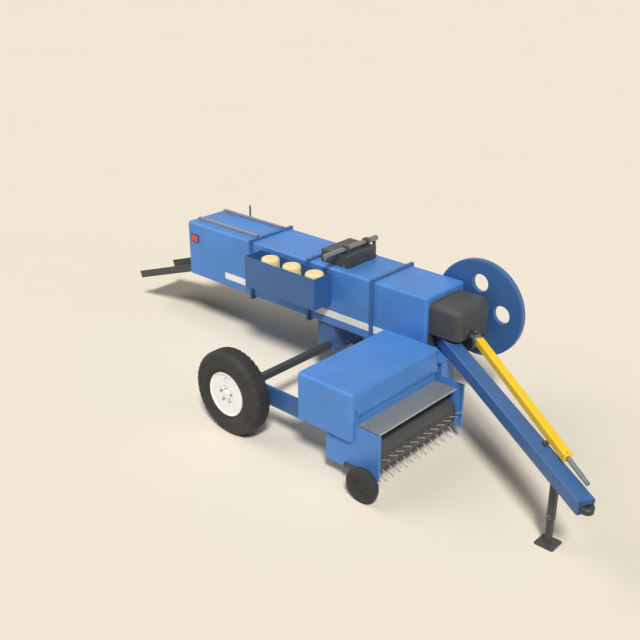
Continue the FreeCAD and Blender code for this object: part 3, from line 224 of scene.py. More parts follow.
def rubber(name, rgb):
    """Tyre rubber with a dusty bloom in its hollows."""
    g = Graph(name)
    cloud = g.noise(7.0, 7.0, 0.6)
    colour = g.mix(g.ramp(cloud, 0.35, 0.7), shade(rgb, 0.9), linear(rgb))
    dusty = g.ramp(g.noise(3.1, 8.0, 0.68), 0.5, 0.8, 0.0, 0.16)
    colour = g.mix(dusty, colour, linear(RUBBER_BLOOM))
    g.link(colour, "Base Color")
    g.link(g.ramp(cloud, 0.3, 0.7, 0.62, 0.82), "Roughness")
    g.fixed(Specular_IOR_Level=0.35)
    g.bump(g.noise(260.0, 4.0), 0.0006, 0.3)
    return g.material


def cast(name, rgb):
    """Painted castings with a sandy skin."""
    g = Graph(name)
    cloud = g.noise(5.0, 7.0, 0.6)
    colour = g.mix(g.ramp(cloud, 0.35, 0.7), shade(rgb, 0.88), linear(rgb))
    oil = g.ramp(g.noise(11.0, 8.0, 0.7), 0.60, 0.78, 0.0, 0.5)
    colour = g.mix(oil, colour, shade(rgb, 0.6))
    edge = g.math("MULTIPLY", g.edges(0.005), 0.25)
    colour = g.mix(edge, colour, linear(WORN_CASTING))
    g.link(colour, "Base Color")
    g.link(g.ramp(oil, 0.0, 0.5, 0.62, 0.38), "Roughness")
    g.bump(g.noise(190.0, 5.0, 0.6), 0.0012, 0.35)
    return g.material


def twine_material(name):
    """Sisal strands, wound round a pack, with loose fibres."""
    g = Graph(name)
    strands = g.noise(150.0, 3.0, 0.5, g.scaled((0.5, 0.5, 3.2)))
    fibre = g.noise(900.0, 3.0, 0.6)
    colour = g.mix(g.ramp(strands, 0.32, 0.66), linear(STRAW_SHADE), linear(STRAW))
    colour = g.mix(g.ramp(fibre, 0.55, 0.8, 0.0, 0.35), colour, linear(STRAW_FIBRE))
    g.link(colour, "Base Color")
    g.fixed(Roughness=0.9, Sheen_Weight=0.3, Specular_IOR_Level=0.2)
    g.bump(g.math("ADD", strands, g.math("MULTIPLY", fibre, 0.4)), 0.0012, 0.5)
    return g.material


def plastic(name, rgb):
    """Moulded plastic with scuffs."""
    g = Graph(name)
    cloud = g.noise(4.0, 5.0)
    colour = g.mix(g.ramp(cloud, 0.3, 0.7), shade(rgb, 0.95), linear(rgb))
    scuff = g.ramp(g.noise(40.0, 9.0, 0.75, g.scaled((0.3, 0.3, 2.0))), 0.60, 0.75, 0.0, 0.22)
    colour = g.mix(scuff, colour, shade(rgb, 0.74))
    g.link(colour, "Base Color")
    g.link(g.ramp(g.noise(22.0, 6.0), 0.3, 0.7, 0.36, 0.52), "Roughness")
    g.bump(g.noise(600.0, 2.0), 0.0003, 0.25)
    return g.material


def prism_plastic(name, rgb):
    """A reflector's lens, with its moulded cells under a clear face."""
    g = Graph(name)
    cells = g.node("ShaderNodeTexVoronoi", {"Vector": g.place, "Scale": 190.0},
                   feature="F1").outputs["Distance"]
    colour = g.mix(g.ramp(cells, 0.1, 0.7), shade(rgb, 1.06), shade(rgb, 0.90))
    g.link(colour, "Base Color")
    g.link(g.ramp(cells, 0.0, 0.8, 0.12, 0.3), "Roughness")
    g.fixed(Coat_Weight=0.6, Coat_Roughness=0.06)
    g.bump(cells, 0.001, 0.4)
    return g.material


def floor_material():
    """The studio's plain pale floor."""
    g = Graph("studio_floor")
    tone = g.ramp(g.noise(0.4, 3.0), 0.3, 0.7)
    colour = g.mix(tone, linear(FLOOR), shade(FLOOR, 0.997))
    g.link(colour, "Base Color")
    g.fixed(Roughness=1.0, Specular_IOR_Level=0.0)
    return g.material


MATERIALS = {
    "body": paint("enamel_body_blue", BODY_BLUE),
    "frame": paint("enamel_frame_blue", FRAME_BLUE, rough=0.48, worn=0.18),
    "dark": paint("satin_dark_grey", DARK_GREY, rough=0.62, worn=0.2, grain=300.0),
    "cast": cast("cast_dark_grey", CAST_GREY),
    "white": paint("enamel_rim_white", RIM_WHITE, rough=0.36, wear=WORN_WHITE, worn=0.15,
                   dust=0.03),
    "stripe": paint("enamel_stripe_white", STRIPE_WHITE, rough=0.4, worn=0.1, dust=0.0),
    "steel": steel("steel_worn", STEEL),
    "rail": steel("steel_drawn_bar", DRAWN_BAR, rough=0.34, metallic=0.6, rust=0.02),
    "dull_shaft": steel("steel_dull_shaft", DULL_SHAFT, rough=0.55, metallic=0.4,
                        along=(12.0, 1.0, 12.0), rust=0.03),
    "shaft": steel("steel_turned_shaft", TURNED_SHAFT, rough=0.26, metallic=0.85,
                   along=(12.0, 1.0, 12.0), rust=0.02),
    "plate": steel("steel_plate", PLATE, rough=0.5, metallic=0.45,
                   along=(20.0, 1.0, 20.0)),
    "dark_steel": steel("steel_dark", DARK_STEEL, rough=0.5, metallic=0.6, rust=0.35),
    # painted highlight: a lighter copy of the wind guard plate's steel, for its lip
    "lip": steel("steel_rolled_lip_painted_highlight", LIP_PAINTED_HIGHLIGHT, rough=0.45, metallic=0.35,
                 along=(20.0, 1.0, 20.0), rust=0.1),
    "drum": paint("satin_drum_grey", DRUM_GREY, rough=0.6, worn=0.3, grain=300.0),
    "tine": steel("spring_tine_steel", TINE_STEEL, rough=0.42, metallic=0.3, rust=0.1),
    "zinc": steel("zinc_fastener", ZINC, rough=0.34, metallic=0.9,
                  along=(4.0, 4.0, 4.0), rust=0.1),
    "rubber": rubber("tyre_rubber", RUBBER),
    "yellow": plastic("guard_yellow_plastic", GUARD_YELLOW),
    "black": plastic("black_plastic", BLACK),
    "straw": twine_material("sisal_twine"),
    "red": prism_plastic("reflector_red_lens", RED),
}

NODE_MATERIALS = {
    "body": ("case_floor", "case_roof", "case_left_wall", "case_right_wall",
             "case_front_panel", "feed_housing", "pickup_right_panel",
             "pickup_left_panel", "pickup_shield", "pivot_frame"),
    "frame": ("hoop_posts", "hoop_crossbars", "twine_box", "axle_leg", "outer_arm",
              "flywheel", "drawbar"),
    "dark": ("knotter_cover", "knotter_bearings", "axle_beam", "gauge_arm", "jack_sleeve",
             "jack_leg", "bale_chute", "chute_hinge", "shaft_rest", "feed_auger"),
    "drum": ("reel_drum",),
    "tine": ("reel_tines",),
    "cast": ("gearbox", "plunger"),
    "white": ("right_rim", "left_rim"),
    "steel": ("axle_spindles",),
    "dull_shaft": ("drive_shaft",),
    "rail": ("tension_rails",),
    "shaft": ("knotter_shaft",),
    "black": ("tension_rod",),
    "plate": ("windguard",),
    "dark_steel": ("pickup_pivot_shaft", "input_yoke", "hitch_eye"),
    "rubber": ("right_tyre", "left_tyre", "gauge_wheel"),
    "yellow": ("drive_guard",),
    "straw": ("twine_balls",),
    "red": ("reflectors",),
}
for key, names in NODE_MATERIALS.items():
    for node_name in names:
        data = NODES[node_name].data
        data.materials.clear()
        data.materials.append(MATERIALS[key])


# ------------------------------------------------ mesh helpers
def spaced(low, high, count):
    """Evenly spaced numbers, ends included."""
    return [low + (high - low) * index / (count - 1) for index in range(count)]


def angles(count):
    """Evenly spaced angles round a full turn."""
    return [2 * math.pi * index / count for index in range(count)]


def corners(low, high):
    """The four corners of a rectangle in order, from its lowest and highest ones."""
    return [(low[0], low[1]), (high[0], low[1]), (high[0], high[1]), (low[0], high[1])]


def on_ring(matrix, reach, angle, height):
    """A place at an angle and a reach round a matrix's local Z."""
    return matrix @ Vector((reach * math.cos(angle), reach * math.sin(angle), height))


def join_rings(bm, pairs, segments):
    """Faces between pairs of rings of vertices, where a ring of one vertex is a pole."""
    for low, high in pairs:
        for index in range(segments):
            after = (index + 1) % segments
            if len(low) == 1:
                bm.faces.new((low[0], high[index], high[after]))
            elif len(high) == 1:
                bm.faces.new((low[index], low[after], high[0]))
            else:
                bm.faces.new((low[index], low[after], high[after], high[index]))


def aimed(place, axis, turn=0.0):
    """A matrix that puts local +Z along an axis at a place."""
    spin = Matrix.Rotation(turn, 4, "Z")
    lean = axis.to_track_quat("Z", "Y").to_matrix().to_4x4()
    return Matrix.Translation(Vector(place)) @ lean @ spin


def lathe(bm, outline, matrix, segments, relief=None):
    """Turn an outline of (radius, height) into a solid about local Z.

    An outline with both ends off the axis is closed back to its start. A relief is a
    function that moves a point of the outline, from its radius, height and angle.
    """
    rings = []
    for radius, height in outline:
        if radius == 0:
            rings.append([bm.verts.new(matrix @ Vector((0, 0, height)))])
            continue
        ring = []
        for angle in angles(segments):
            spot = relief(radius, height, angle) if relief else (radius, height)
            ring.append(bm.verts.new(on_ring(matrix, spot[0], angle, spot[1])))
        rings.append(ring)
    pairs = list(zip(rings, rings[1:]))
    if len(rings[0]) > 1 and len(rings[-1]) > 1:
        pairs.append((rings[-1], rings[0]))
    join_rings(bm, pairs, segments)


def bolt(bm, place, axis, size):
    """A hexagon bolt head on its washer; size is the radius across the corners."""
    matrix = aimed(place, axis, RANDOM.uniform(0, math.pi / 3))
    base = 0.16 * size
    lathe(bm, [(0, -0.002), (1.45 * size, -0.002), (1.45 * size, 0.10 * size),
               (1.36 * size, base), (0, base)], matrix, 20)
    top = base + 0.62 * size
    lathe(bm, [(0, base - 0.001), (size, base - 0.001), (size, top - 0.12 * size),
               (0.88 * size, top), (0.5 * size, top), (0.44 * size, top - 0.03 * size),
               (0, top - 0.03 * size)], matrix, 6)


def rivet(bm, place, axis, size=0.006):
    """A low domed rivet head."""
    lathe(bm, [(0, -0.001), (size, -0.001), (0.92 * size, 0.22 * size),
               (0.6 * size, 0.42 * size), (0, 0.5 * size)], aimed(place, axis), 12)


def slab(bm, low, high, bevel, segments=2, matrix=None):
    """A box with softened edges."""
    low, high = Vector(low), Vector(high)
    made = bmesh.ops.create_cube(bm, size=1.0)["verts"]
    for vert in made:
        for axis in range(3):
            middle = (low[axis] + high[axis]) / 2
            vert.co[axis] = middle + vert.co[axis] * (high[axis] - low[axis])
    if matrix:
        bmesh.ops.transform(bm, matrix=matrix, verts=made)
    edges = {edge for vert in made for edge in vert.link_edges}
    bmesh.ops.bevel(bm, geom=list(edges), offset=bevel, segments=segments,
                    affect="EDGES", profile=0.5)


def sweep(bm, points, radius, segments, closed=False):
    """A round bar along a path of points; its radius can be a function of the point's index."""
    points = [Vector(p) for p in points]
    rings = []
    count = len(points)
    for index, point in enumerate(points):
        before = points[index - 1] if index or closed else points[0]
        after = points[(index + 1) % count] if index < count - 1 or closed else points[-1]
        run = (after - before).normalized()
        side = run.cross(Z if abs(run.z) < 0.9 else X).normalized()
        over = side.cross(run)
        size = radius(index) if callable(radius) else radius
        ring = []
        for angle in angles(segments):
            ring.append(bm.verts.new(point + size * (math.cos(angle) * side
                                                     + math.sin(angle) * over)))
        rings.append(ring)
    pairs = list(zip(rings, rings[1:]))
    if closed:
        pairs.append((rings[-1], rings[0]))
    else:
        bm.faces.new(rings[0][::-1])
        bm.faces.new(rings[-1])
    join_rings(bm, pairs, segments)


def weld(bm, start, end, size):
    """A rippled weld bead between two points."""
    start, end = Vector(start), Vector(end)
    steps = max(3, int((end - start).length / (0.9 * size)))
    points = [start.lerp(end, index / steps) for index in range(steps + 1)]
    sweep(bm, points, lambda index: size * (0.82 + 0.18 * (index % 2)), 6)


def weld_round(bm, points, size):
    """A weld bead from each point to the next, and from the last to the first."""
    for start, end in zip(points, points[1:] + points[:1]):
        weld(bm, start, end, size)


def piece(name, bm, body, material, sharp=30.0):
    """Finish a mesh as a piece that rides on a body, in its material."""
    bmesh.ops.recalc_face_normals(bm, faces=bm.faces)
    mesh = bpy.data.meshes.new(name)
    bm.to_mesh(mesh)
    bm.free()
    mesh.shade_smooth()
    mesh.set_sharp_from_angle(angle=math.radians(sharp))
    mesh.materials.append(MATERIALS[material])
    obj = bpy.data.objects.new(name, mesh)
    bpy.context.scene.collection.objects.link(obj)
    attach(obj, body)
    return obj


def centre(node):
    """The middle of a node's box."""
    low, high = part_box(node)
    return (Vector(low) + Vector(high)) / 2


def radius_of(node):
    """The radius of a round node whose axis is level."""
    low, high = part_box(node)
    return (high[2] - low[2]) / 2


AXLE_X = centre("axle_beam").x
MID_Y = (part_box("case_right_wall")[0][1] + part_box("case_left_wall")[1][1]) / 2


def at(x, y, z):
    """A place measured forwards from the axle, leftwards from the case's middle, and up."""
    return Vector((AXLE_X + x, MID_Y + y, z))


def slanted(place, yaw, pitch):
    """A matrix at a place, whose X is turned by a yaw and dipped by a pitch in degrees."""
    return (Matrix.Translation(place) @ Matrix.Rotation(math.radians(yaw), 4, "Z")
            @ Matrix.Rotation(math.radians(pitch), 4, "Y"))


# Places and sizes of CAD parts that no box gives, as part.py has them.
HOOPS_X = [AXLE_X + x for x in (-1.056, -0.256, 0.545)]
TWINE_BOX_BACK_Y = MID_Y - 0.3115
TWINE_PACKS_X = [AXLE_X + x for x in (-0.636, -0.346, -0.048)]
HOUSING_LEFT_Y = MID_Y - 0.385
PIVOT_Z = 0.398
TINES_Y = (MID_Y - 1.415, MID_Y - 0.390)
TINE_ROWS, TINES_A_ROW, FIRST_ROW_ANGLE = 6, 12, 6
CHUTE = slanted(at(-2.060, 0, 0.626), 0.0, -19.1)  # -X runs down the chute
CHUTE_HALF_WIDTH = 0.250
JOINT = at(1.560, -0.1035, 0.9357)
SHAFT = slanted(JOINT, -32.86, 6.4)  # X runs along the drive shaft
YOKE_EAR_OUT = 40 * MM
GUARD_START, GUARD_END, GUARD_HALF = 0.088, 1.716, 35 * MM
DRAWBAR = slanted(at(1.310, -0.151, 0.808), -29.8, 5.4)  # X runs along the drawbar
DRAWBAR_LENGTH, DRAWBAR_HALF_WIDTH, DRAWBAR_HALF_HEIGHT = 2.289, 69 * MM, 61 * MM

# Places of the white stripe and the housing's skirt, which only this script makes.
STRIPE_START_X = AXLE_X - 1.470
STRIPE_BOTTOM_Z, STRIPE_TOP_Z = 0.714, 0.786
SKIRT_RIGHT_Y = MID_Y - 1.480
SKIRT_BOTTOM_Z, SKIRT_TOP_Z = 0.640, 0.700


# ------------------------------------------------ road wheels
def tyre_outline(radius, half, bead):
    """The tyre's section as (radius, side) points, round the outside then the inside."""
    groove, width, ribs = 0.008, 0.005, (-0.033, 0.0, 0.033)
    flank = [(bead, -half + 0.018), (bead + 0.010, -half + 0.011),
             (bead + 0.016, -half + 0.012), (bead + 0.022, -half + 0.007),
             (bead + 0.050, -half + 0.0025), (bead + 0.085, -half),
             (bead + 0.112, -half + 0.0012), (bead + 0.115, -half + 0.004),
             (bead + 0.121, -half + 0.004), (bead + 0.124, -half + 0.0016),
             (radius - 0.046, -half + 0.004), (radius - 0.030, -half + 0.009),
             (radius - 0.014, -half + 0.018), (radius - 0.005, -half + 0.031),
             (radius - 0.0015, -half + 0.044)]
    tread = []
    for middle in ribs:
        crown = radius - 0.5 * middle * middle
        tread += [(crown, middle - width - 0.002), (crown - groove, middle - width + 0.0005),
                  (crown - groove, middle + width - 0.0005), (crown, middle + width + 0.002)]
    mirrored = [(r, -side) for r, side in reversed(flank)]
    inside = [(bead, half - 0.034), (bead + 0.060, half - 0.020),
              (radius - 0.050, half - 0.022), (radius - 0.024, half - 0.050),
              (radius - 0.024, -half + 0.050), (radius - 0.050, -half + 0.022),
              (bead + 0.060, -half + 0.020), (bead, -half + 0.034)]
    return flank + tread + mirrored + inside


def road_tyre(side):
    """A ribbed implement tyre, with notches across its shoulders."""
    node = side + "_tyre"
    low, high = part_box(node)
    middle, radius, half = centre(node), radius_of(node), (high[1] - low[1]) / 2
    outline = tyre_outline(radius, half, radius_of(side + "_rim"))
    segments, notch_depth = 240, 0.0055
    bm = bmesh.new()
    rings = []
    for index, angle in enumerate(angles(segments)):
        notch = index % 6 in (0, 1)
        ring = []
        for r, offset in outline:
            cut = notch and radius - 0.034 < r and half - 0.050 < abs(offset) < half - 0.006
            reach = r - notch_depth if cut else r
            ring.append(bm.verts.new(middle + Vector((reach * math.cos(angle), offset,
                                                      reach * math.sin(angle)))))
        rings.append(ring)
    join_rings(bm, zip(rings, rings[1:] + rings[:1]), len(outline))
    tyre = piece(side + "_tyre_tread", bm, side + "_wheel", "rubber", 34.0)
    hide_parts(node)


def rim_details(side):
    """The rim's rolled lip and pressed ring, its centre cap, its nuts and the valve."""
    nuts, nut_circle, valve_circle = 5, 0.066, 0.165
    sign = -1 if side == "right" else 1
    low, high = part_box(side + "_tyre")
    middle, radius = centre(side + "_rim"), radius_of(side + "_rim")
    out = Vector((0, sign, 0))
    edge_y = low[1] if sign < 0 else high[1]
    face = Vector((middle.x, edge_y - sign * 20 * MM, middle.z))
    bm = bmesh.new()
    lathe(bm, [(radius - 0.004, -0.004), (radius - 0.001, 0.004), (radius, 0.010),
               (radius - 0.004, 0.014), (radius - 0.010, 0.012), (radius - 0.016, 0.003),
               (radius - 0.034, -0.001)], aimed(face, out), 96)
    lathe(bm, [(0.050, -0.002), (0.050, 0.002), (0.046, 0.006), (0.038, 0.0085),
               (0.0, 0.0095)], aimed(face, out), 48)
    lathe(bm, [(0.086, -0.001), (0.088, 0.0016), (0.094, 0.0016), (0.097, -0.001)],
          aimed(face, out), 64)
    piece(side + "_rim_pressing", bm, side + "_wheel", "white")
    bm = bmesh.new()
    for index in range(nuts):
        angle = math.radians(360 / nuts * index + 18)
        place = face + Vector((nut_circle * math.cos(angle), 0, nut_circle * math.sin(angle)))
        matrix = aimed(place, out, 0.3 * index)
        lathe(bm, [(0, -0.002), (0.0150, -0.002), (0.0150, 0.002), (0.0125, 0.005),
                   (0, 0.005)], matrix, 24)
        lathe(bm, [(0, 0.004), (0.0118, 0.004), (0.0118, 0.013), (0.0100, 0.015),
                   (0.0062, 0.015), (0.0062, 0.018), (0.005, 0.0190), (0, 0.0190)], matrix, 6)
    place = face + Vector((0.0, 0.0, valve_circle))
    lathe(bm, [(0, -0.004), (0.007, -0.004), (0.006, 0.003), (0.0038, 0.006),
               (0.0038, 0.016), (0.0028, 0.0175), (0, 0.0175)], aimed(place, out), 16)
    piece(side + "_wheel_nuts", bm, side + "_wheel", "zinc")


for wheel_side in ("right", "left"):
    road_tyre(wheel_side)
    rim_details(wheel_side)


# ------------------------------------------------ bale case
def case_stripe():
    """The painted white band on both walls, which ends behind the feeder housing."""
    right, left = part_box("case_right_wall")[0][1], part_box("case_left_wall")[1][1]
    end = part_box("feed_housing")[0][0] - MM
    bm = bmesh.new()
    for y in ((right - 1.2 * MM, right + 0.5 * MM), (left - 0.5 * MM, left + 1.2 * MM)):
        slab(bm, (STRIPE_START_X, y[0], STRIPE_BOTTOM_Z), (end, y[1], STRIPE_TOP_Z),
             0.3 * MM, 1)
    piece("case_stripe", bm, "chassis", "stripe")


def case_rivets():
    """Rivets along the seams of roof, floor and front pan."""
    low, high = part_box("case_right_wall")
    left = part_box("case_left_wall")[1][1]
    front_low, front_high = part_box("case_front_panel")
    front_x = front_low[0] + 16 * MM
    bm = bmesh.new()
    for x in spaced(low[0] + 0.04, high[0] - 0.04, 41):
        if min(abs(x - hoop) for hoop in HOOPS_X) < 0.03:
            continue
        for z in (low[2] + 16 * MM, high[2] - 16 * MM):
            rivet(bm, (x, low[1], z), -Y)
            rivet(bm, (x, left, z), Y)
    for z in spaced(front_low[2] + 0.06, front_high[2] - 0.06, 6):
        rivet(bm, (front_x, low[1], z), -Y)
        rivet(bm, (front_x, left, z), Y)
    for y in spaced(low[1] + 0.06, left - 0.06, 7):
        rivet(bm, (front_x, y, front_high[2]), Z)
    piece("case_rivets", bm, "chassis", "body")


def hoop_bolts():
    """Bolts through the hoops' ends and crossbars, and stitch welds down their sides."""
    low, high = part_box("hoop_posts")
    bolts, welds = bmesh.new(), bmesh.new()
    half = 19 * MM
    for x in HOOPS_X:
        for sign, y in ((-1, low[1]), (1, high[1])):
            for z in (low[2] + 0.040, high[2] - 0.040):
                bolt(bolts, (x, y, z), sign * Y, 9 * MM)
            wall = y - sign * 22 * MM
            for z in spaced(low[2] + 0.10, high[2] - 0.14, 4):
                for edge in (x - half, x + half):
                    weld(welds, (edge, wall, z), (edge, wall, z + 0.045), 3.0 * MM)
        for y in (MID_Y - 0.22, MID_Y + 0.22):
            bolt(bolts, (x, y, high[2]), Z, 8 * MM)
    piece("hoop_bolts", bolts, "chassis", "frame")
    piece("hoop_welds", welds, "chassis", "frame")


def tension_rail_parts():
    """Bolts and end caps of the tension rails, and the hand rod's two nuts."""
    low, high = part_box("tension_rails")
    bm = bmesh.new()
    for y in (low[1] + 17 * MM, high[1] - 17 * MM):
        for x in spaced(low[0] + 0.06, high[0] - 0.08, 5):
            bolt(bm, (x, y, high[2]), Z, 8 * MM)
        slab(bm, (low[0] - 3 * MM, y - 16 * MM, low[2] + MM),
             (low[0], y + 16 * MM, high[2] - MM), MM)
    rod_low, rod_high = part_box("tension_rod")
    x = (rod_low[0] + rod_high[0]) / 2
    y = rod_low[1] + 16 * MM
    for z in (rod_low[2] + 36 * MM, rod_low[2] + 0.16):
        lathe(bm, [(0.009, -0.006), (0.016, -0.006), (0.016, 0.006), (0.009, 0.006)],
              aimed((x, y, z), Z), 6)
    piece("tension_rail_bolts", bm, "chassis", "zinc")


def reflector_rims():
    """The black frames round the reflectors."""
    low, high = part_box("reflectors")
    depth = 8 * MM
    bm = bmesh.new()
    for sign, wall in ((-1, low[1] + depth), (1, high[1] - depth)):
        y = sorted((wall, wall + sign * (depth + 1.5 * MM)))
        for x in ((low[0] - 5 * MM, low[0] + MM), (high[0] - MM, high[0] + 5 * MM)):
            slab(bm, (x[0], y[0], low[2] - 5 * MM), (x[1], y[1], high[2] + 5 * MM), MM)
        for z in ((low[2] - 5 * MM, low[2] + MM), (high[2] - MM, high[2] + 5 * MM)):
            slab(bm, (low[0], y[0], z[0]), (high[0], y[1], z[1]), MM)
    piece("reflector_rims", bm, "chassis", "black")


def chute_ribs():
    """Pressed ribs along the chute's floor, its rolled edges and the bolts of its rails."""
    bm = bmesh.new()
    for y in (-0.150, -0.050, 0.050, 0.150):
        slab(bm, (-0.960, y - 9 * MM, 4 * MM), (-0.085, y + 9 * MM, 9.5 * MM),
             2.4 * MM, 3, CHUTE)
    for side in (-1, 1):
        y = side * CHUTE_HALF_WIDTH
        sweep(bm, [CHUTE @ Vector((x, y - side * 2.5 * MM, 78 * MM)) for x in (-0.998, -0.028)],
              4.5 * MM, 10)
    sweep(bm, [CHUTE @ Vector((-0.9995, y, 2.5 * MM)) for y in (-0.248, 0.248)], 4.5 * MM, 10)
    piece("chute_ribs", bm, "chute", "dark")
    bm = bmesh.new()
    for side in (-1, 1):
        axis = CHUTE.to_3x3() @ (side * Y)
        for x in spaced(-0.93, -0.10, 6):
            bolt(bm, CHUTE @ Vector((x, side * CHUTE_HALF_WIDTH, 30 * MM)), axis, 7 * MM)
    piece("chute_bolts", bm, "chute", "dark")


# ------------------------------------------------ knotter and twine box
def knotter_parts():
    """The knotter lid's seam, latches and hinges, bolts, grease nipples and shaft plugs."""
    low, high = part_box("knotter_cover")
    block_low, block_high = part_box("knotter_bearings")
    bearing_x = centre("knotter_bearings").x
    seam_z, hinge_x = low[2] + 0.030, low[0] - 5 * MM
    out = 2.5 * MM
    seam = corners((low[0] - out, low[1] - out), (high[0] + out, high[1] + out))
    bm = bmesh.new()
    sweep(bm, [(x, y, seam_z) for x, y in seam], 4 * MM, 8, closed=True)
    for y in (low[1] + 0.09, high[1] - 0.09):
        slab(bm, (high[0] - MM, y - 18 * MM, seam_z - 22 * MM),
             (high[0] + 7 * MM, y + 18 * MM, seam_z + 26 * MM), 2 * MM)
        sweep(bm, [(hinge_x, y - 32 * MM, seam_z), (hinge_x, y + 32 * MM, seam_z)], 7 * MM, 12)
    piece("knotter_lid_trim", bm, "chassis", "dark")
    bm = bmesh.new()
    for x in (low[0] + 0.05, high[0] - 0.05):
        bolt(bm, (x, low[1], low[2] + 15 * MM), -Y, 7 * MM)
        bolt(bm, (x, high[1], low[2] + 15 * MM), Y, 7 * MM)
    for y in (block_low[1] + 17 * MM, block_high[1] - 17 * MM):
        nipple = (bearing_x, y, block_high[2] - MM)
        lathe(bm, [(0, -0.003), (0.005, -0.003), (0.005, 0.004), (0.003, 0.006),
                   (0.0035, 0.010), (0, 0.012)], aimed(nipple, Z), 6)
    piece("knotter_bolts", bm, "chassis", "zinc")
    shaft_low, shaft_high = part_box("knotter_shaft")
    shaft_z = shaft_high[2] - 28 * MM
    bm = bmesh.new()
    for sign, y in ((-1, shaft_low[1]), (1, shaft_high[1])):
        lathe(bm, [(0, -0.004), (0.0272, -0.004), (0.0272, 0.0), (0.0250, 0.0022),
                   (0.018, 0.0046), (0.009, 0.0058), (0, 0.006)],
              aimed((bearing_x, y, shaft_z), sign * Y), 40)
    piece("knotter_shaft_plugs", bm, "knotter_shaft", "shaft")


def twine_box_parts():
    """The twine box's rolled rim and the rivets of its corners and bottom seam."""
    low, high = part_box("twine_box")
    rim = corners((low[0] + 2 * MM, low[1] + 2 * MM),
                  (high[0] - 2 * MM, TWINE_BOX_BACK_Y - 3 * MM))
    bm = bmesh.new()
    sweep(bm, [(x, y, high[2] - 2 * MM) for x, y in rim], 4.2 * MM, 10, closed=True)
    for z in spaced(low[2] + 0.04, high[2] - 0.05, 5):
        for along in (low[0] + 0.02, high[0] - 0.02):
            rivet(bm, (along, low[1], z), -Y, 5 * MM)
        for across in (low[1] + 0.02, TWINE_BOX_BACK_Y - 0.02):
            rivet(bm, (high[0], across, z), X, 5 * MM)
    for along in spaced(low[0] + 0.10, high[0] - 0.10, 7):
        rivet(bm, (along, low[1], low[2] + 0.014), -Y, 5 * MM)
    piece("twine_box_rim", bm, "chassis", "frame")


# ------------------------------------------------ running gear
def running_gear_bolts():
    """Bolts of the axle leg and of the outer arm's flange, with the axle's welds."""
    leg_low, leg_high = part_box("axle_leg")
    arm_low, arm_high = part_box("outer_arm")
    beam_low, beam_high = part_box("axle_beam")
    bolts, welds = bmesh.new(), bmesh.new()
    for z in (leg_low[2] + 0.05, leg_high[2] - 0.05):
        for y in spaced(leg_low[1] + 0.05, leg_high[1] - 0.05, 4):
            bolt(bolts, (leg_high[0], y, z), X, 9 * MM)
    for z in spaced(arm_high[2] - 0.20, arm_high[2] - 0.02, 3):
        for y in (arm_low[1] + 12 * MM, arm_high[1] - 12 * MM):
            bolt(bolts, (arm_high[0] - 6 * MM, y, z), -X, 7 * MM)
    for y in (leg_low[1], leg_high[1]):
        for z in (beam_low[2], beam_high[2]):
            weld(welds, (beam_low[0], y, z), (beam_high[0], y, z), 3.5 * MM)
    piece("running_gear_bolts", bolts, "chassis", "zinc")
    piece("axle_welds", welds, "chassis", "dark")


# ------------------------------------------------ feeder and pickup
def housing_rivets():
    """Rivets round the housing's right end and along its rear and top."""
    low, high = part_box("feed_housing")
    bm = bmesh.new()
    for z in spaced(low[2] + 0.03, high[2] - 0.06, 6):
        rivet(bm, (low[0] + 0.022, low[1], z), -Y, 5 * MM)
    for x in spaced(low[0] + 0.09, high[0] - 0.07, 7):
        rivet(bm, (x, low[1], low[2] + 0.022), -Y, 5 * MM)
    for y in spaced(low[1] + 0.06, HOUSING_LEFT_Y - 0.03, 15):
        rivet(bm, (low[0], y, high[2] - 0.024), -X, 5 * MM)
        rivet(bm, (low[0] + 0.020, y, high[2]), Z, 5 * MM)
    piece("housing_rivets", bm, "chassis", "body")


def housing_skirt():
    """The housing's front lip, which covers the gap over the wind guard."""
    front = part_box("feed_housing")[1][0]
    bm = bmesh.new()
    slab(bm, (front - 3.5 * MM, SKIRT_RIGHT_Y, SKIRT_BOTTOM_Z),
         (front, HOUSING_LEFT_Y - 12 * MM, SKIRT_TOP_Z), 0.8 * MM)
    piece("housing_skirt", bm, "chassis", "body")


def bearing_caps():
    """The pressed caps over the pickup's pivot and reel shaft on both end plates."""
    right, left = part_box("pickup_right_panel")[0][1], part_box("pickup_left_panel")[1][1]
    pivot_x, reel = centre("pickup_pivot_shaft").x, centre("reel_drum")
    bm = bmesh.new()
    for x, z, radius, rise in ((pivot_x, PIVOT_Z, 24 * MM, 15 * MM),
                               (reel.x, reel.z, 42 * MM, 4 * MM)):
        for sign, face in ((-1, right), (1, left)):
            matrix = aimed((x, face, z), sign * Y)
            lathe(bm, [(radius + 0.010, -0.0005), (radius + 0.010, 0.002), (radius, 0.003),
                       (radius - 0.008, rise), (radius - 0.014, rise + 0.002),
                       (0, rise + 0.002)], matrix, 40)
            for angle in angles(3):
                spot = on_ring(matrix, radius + 5 * MM, angle + 0.5, 0.002)
                rivet(bm, spot, sign * Y, 4 * MM)
    piece("pickup_bearing_caps", bm, "pickup", "body")


def windguard_parts():
    """The wind guard's bolts and its rolled lip, whose lighter steel is a painted highlight."""
    low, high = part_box("windguard")
    bolts_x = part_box("pickup_shield")[1][0] + 0.016
    bm = bmesh.new()
    for y in spaced(low[1] + 0.05, high[1] - 0.05, 6):
        bolt(bm, (bolts_x, y, low[2] + 7.5 * MM), Z, 6 * MM)
    piece("windguard_bolts", bm, "pickup", "zinc")
    bm = bmesh.new()
    lip_x, lip_z = high[0] - 5 * MM, low[2] + 5 * MM
    sweep(bm, [(lip_x, low[1], lip_z), (lip_x, high[1], lip_z)], 5.4 * MM, 14)
    # the lip is real, and its lighter steel is a painted highlight along the guard's front edge
    piece("windguard_lip", bm, "pickup", "lip")


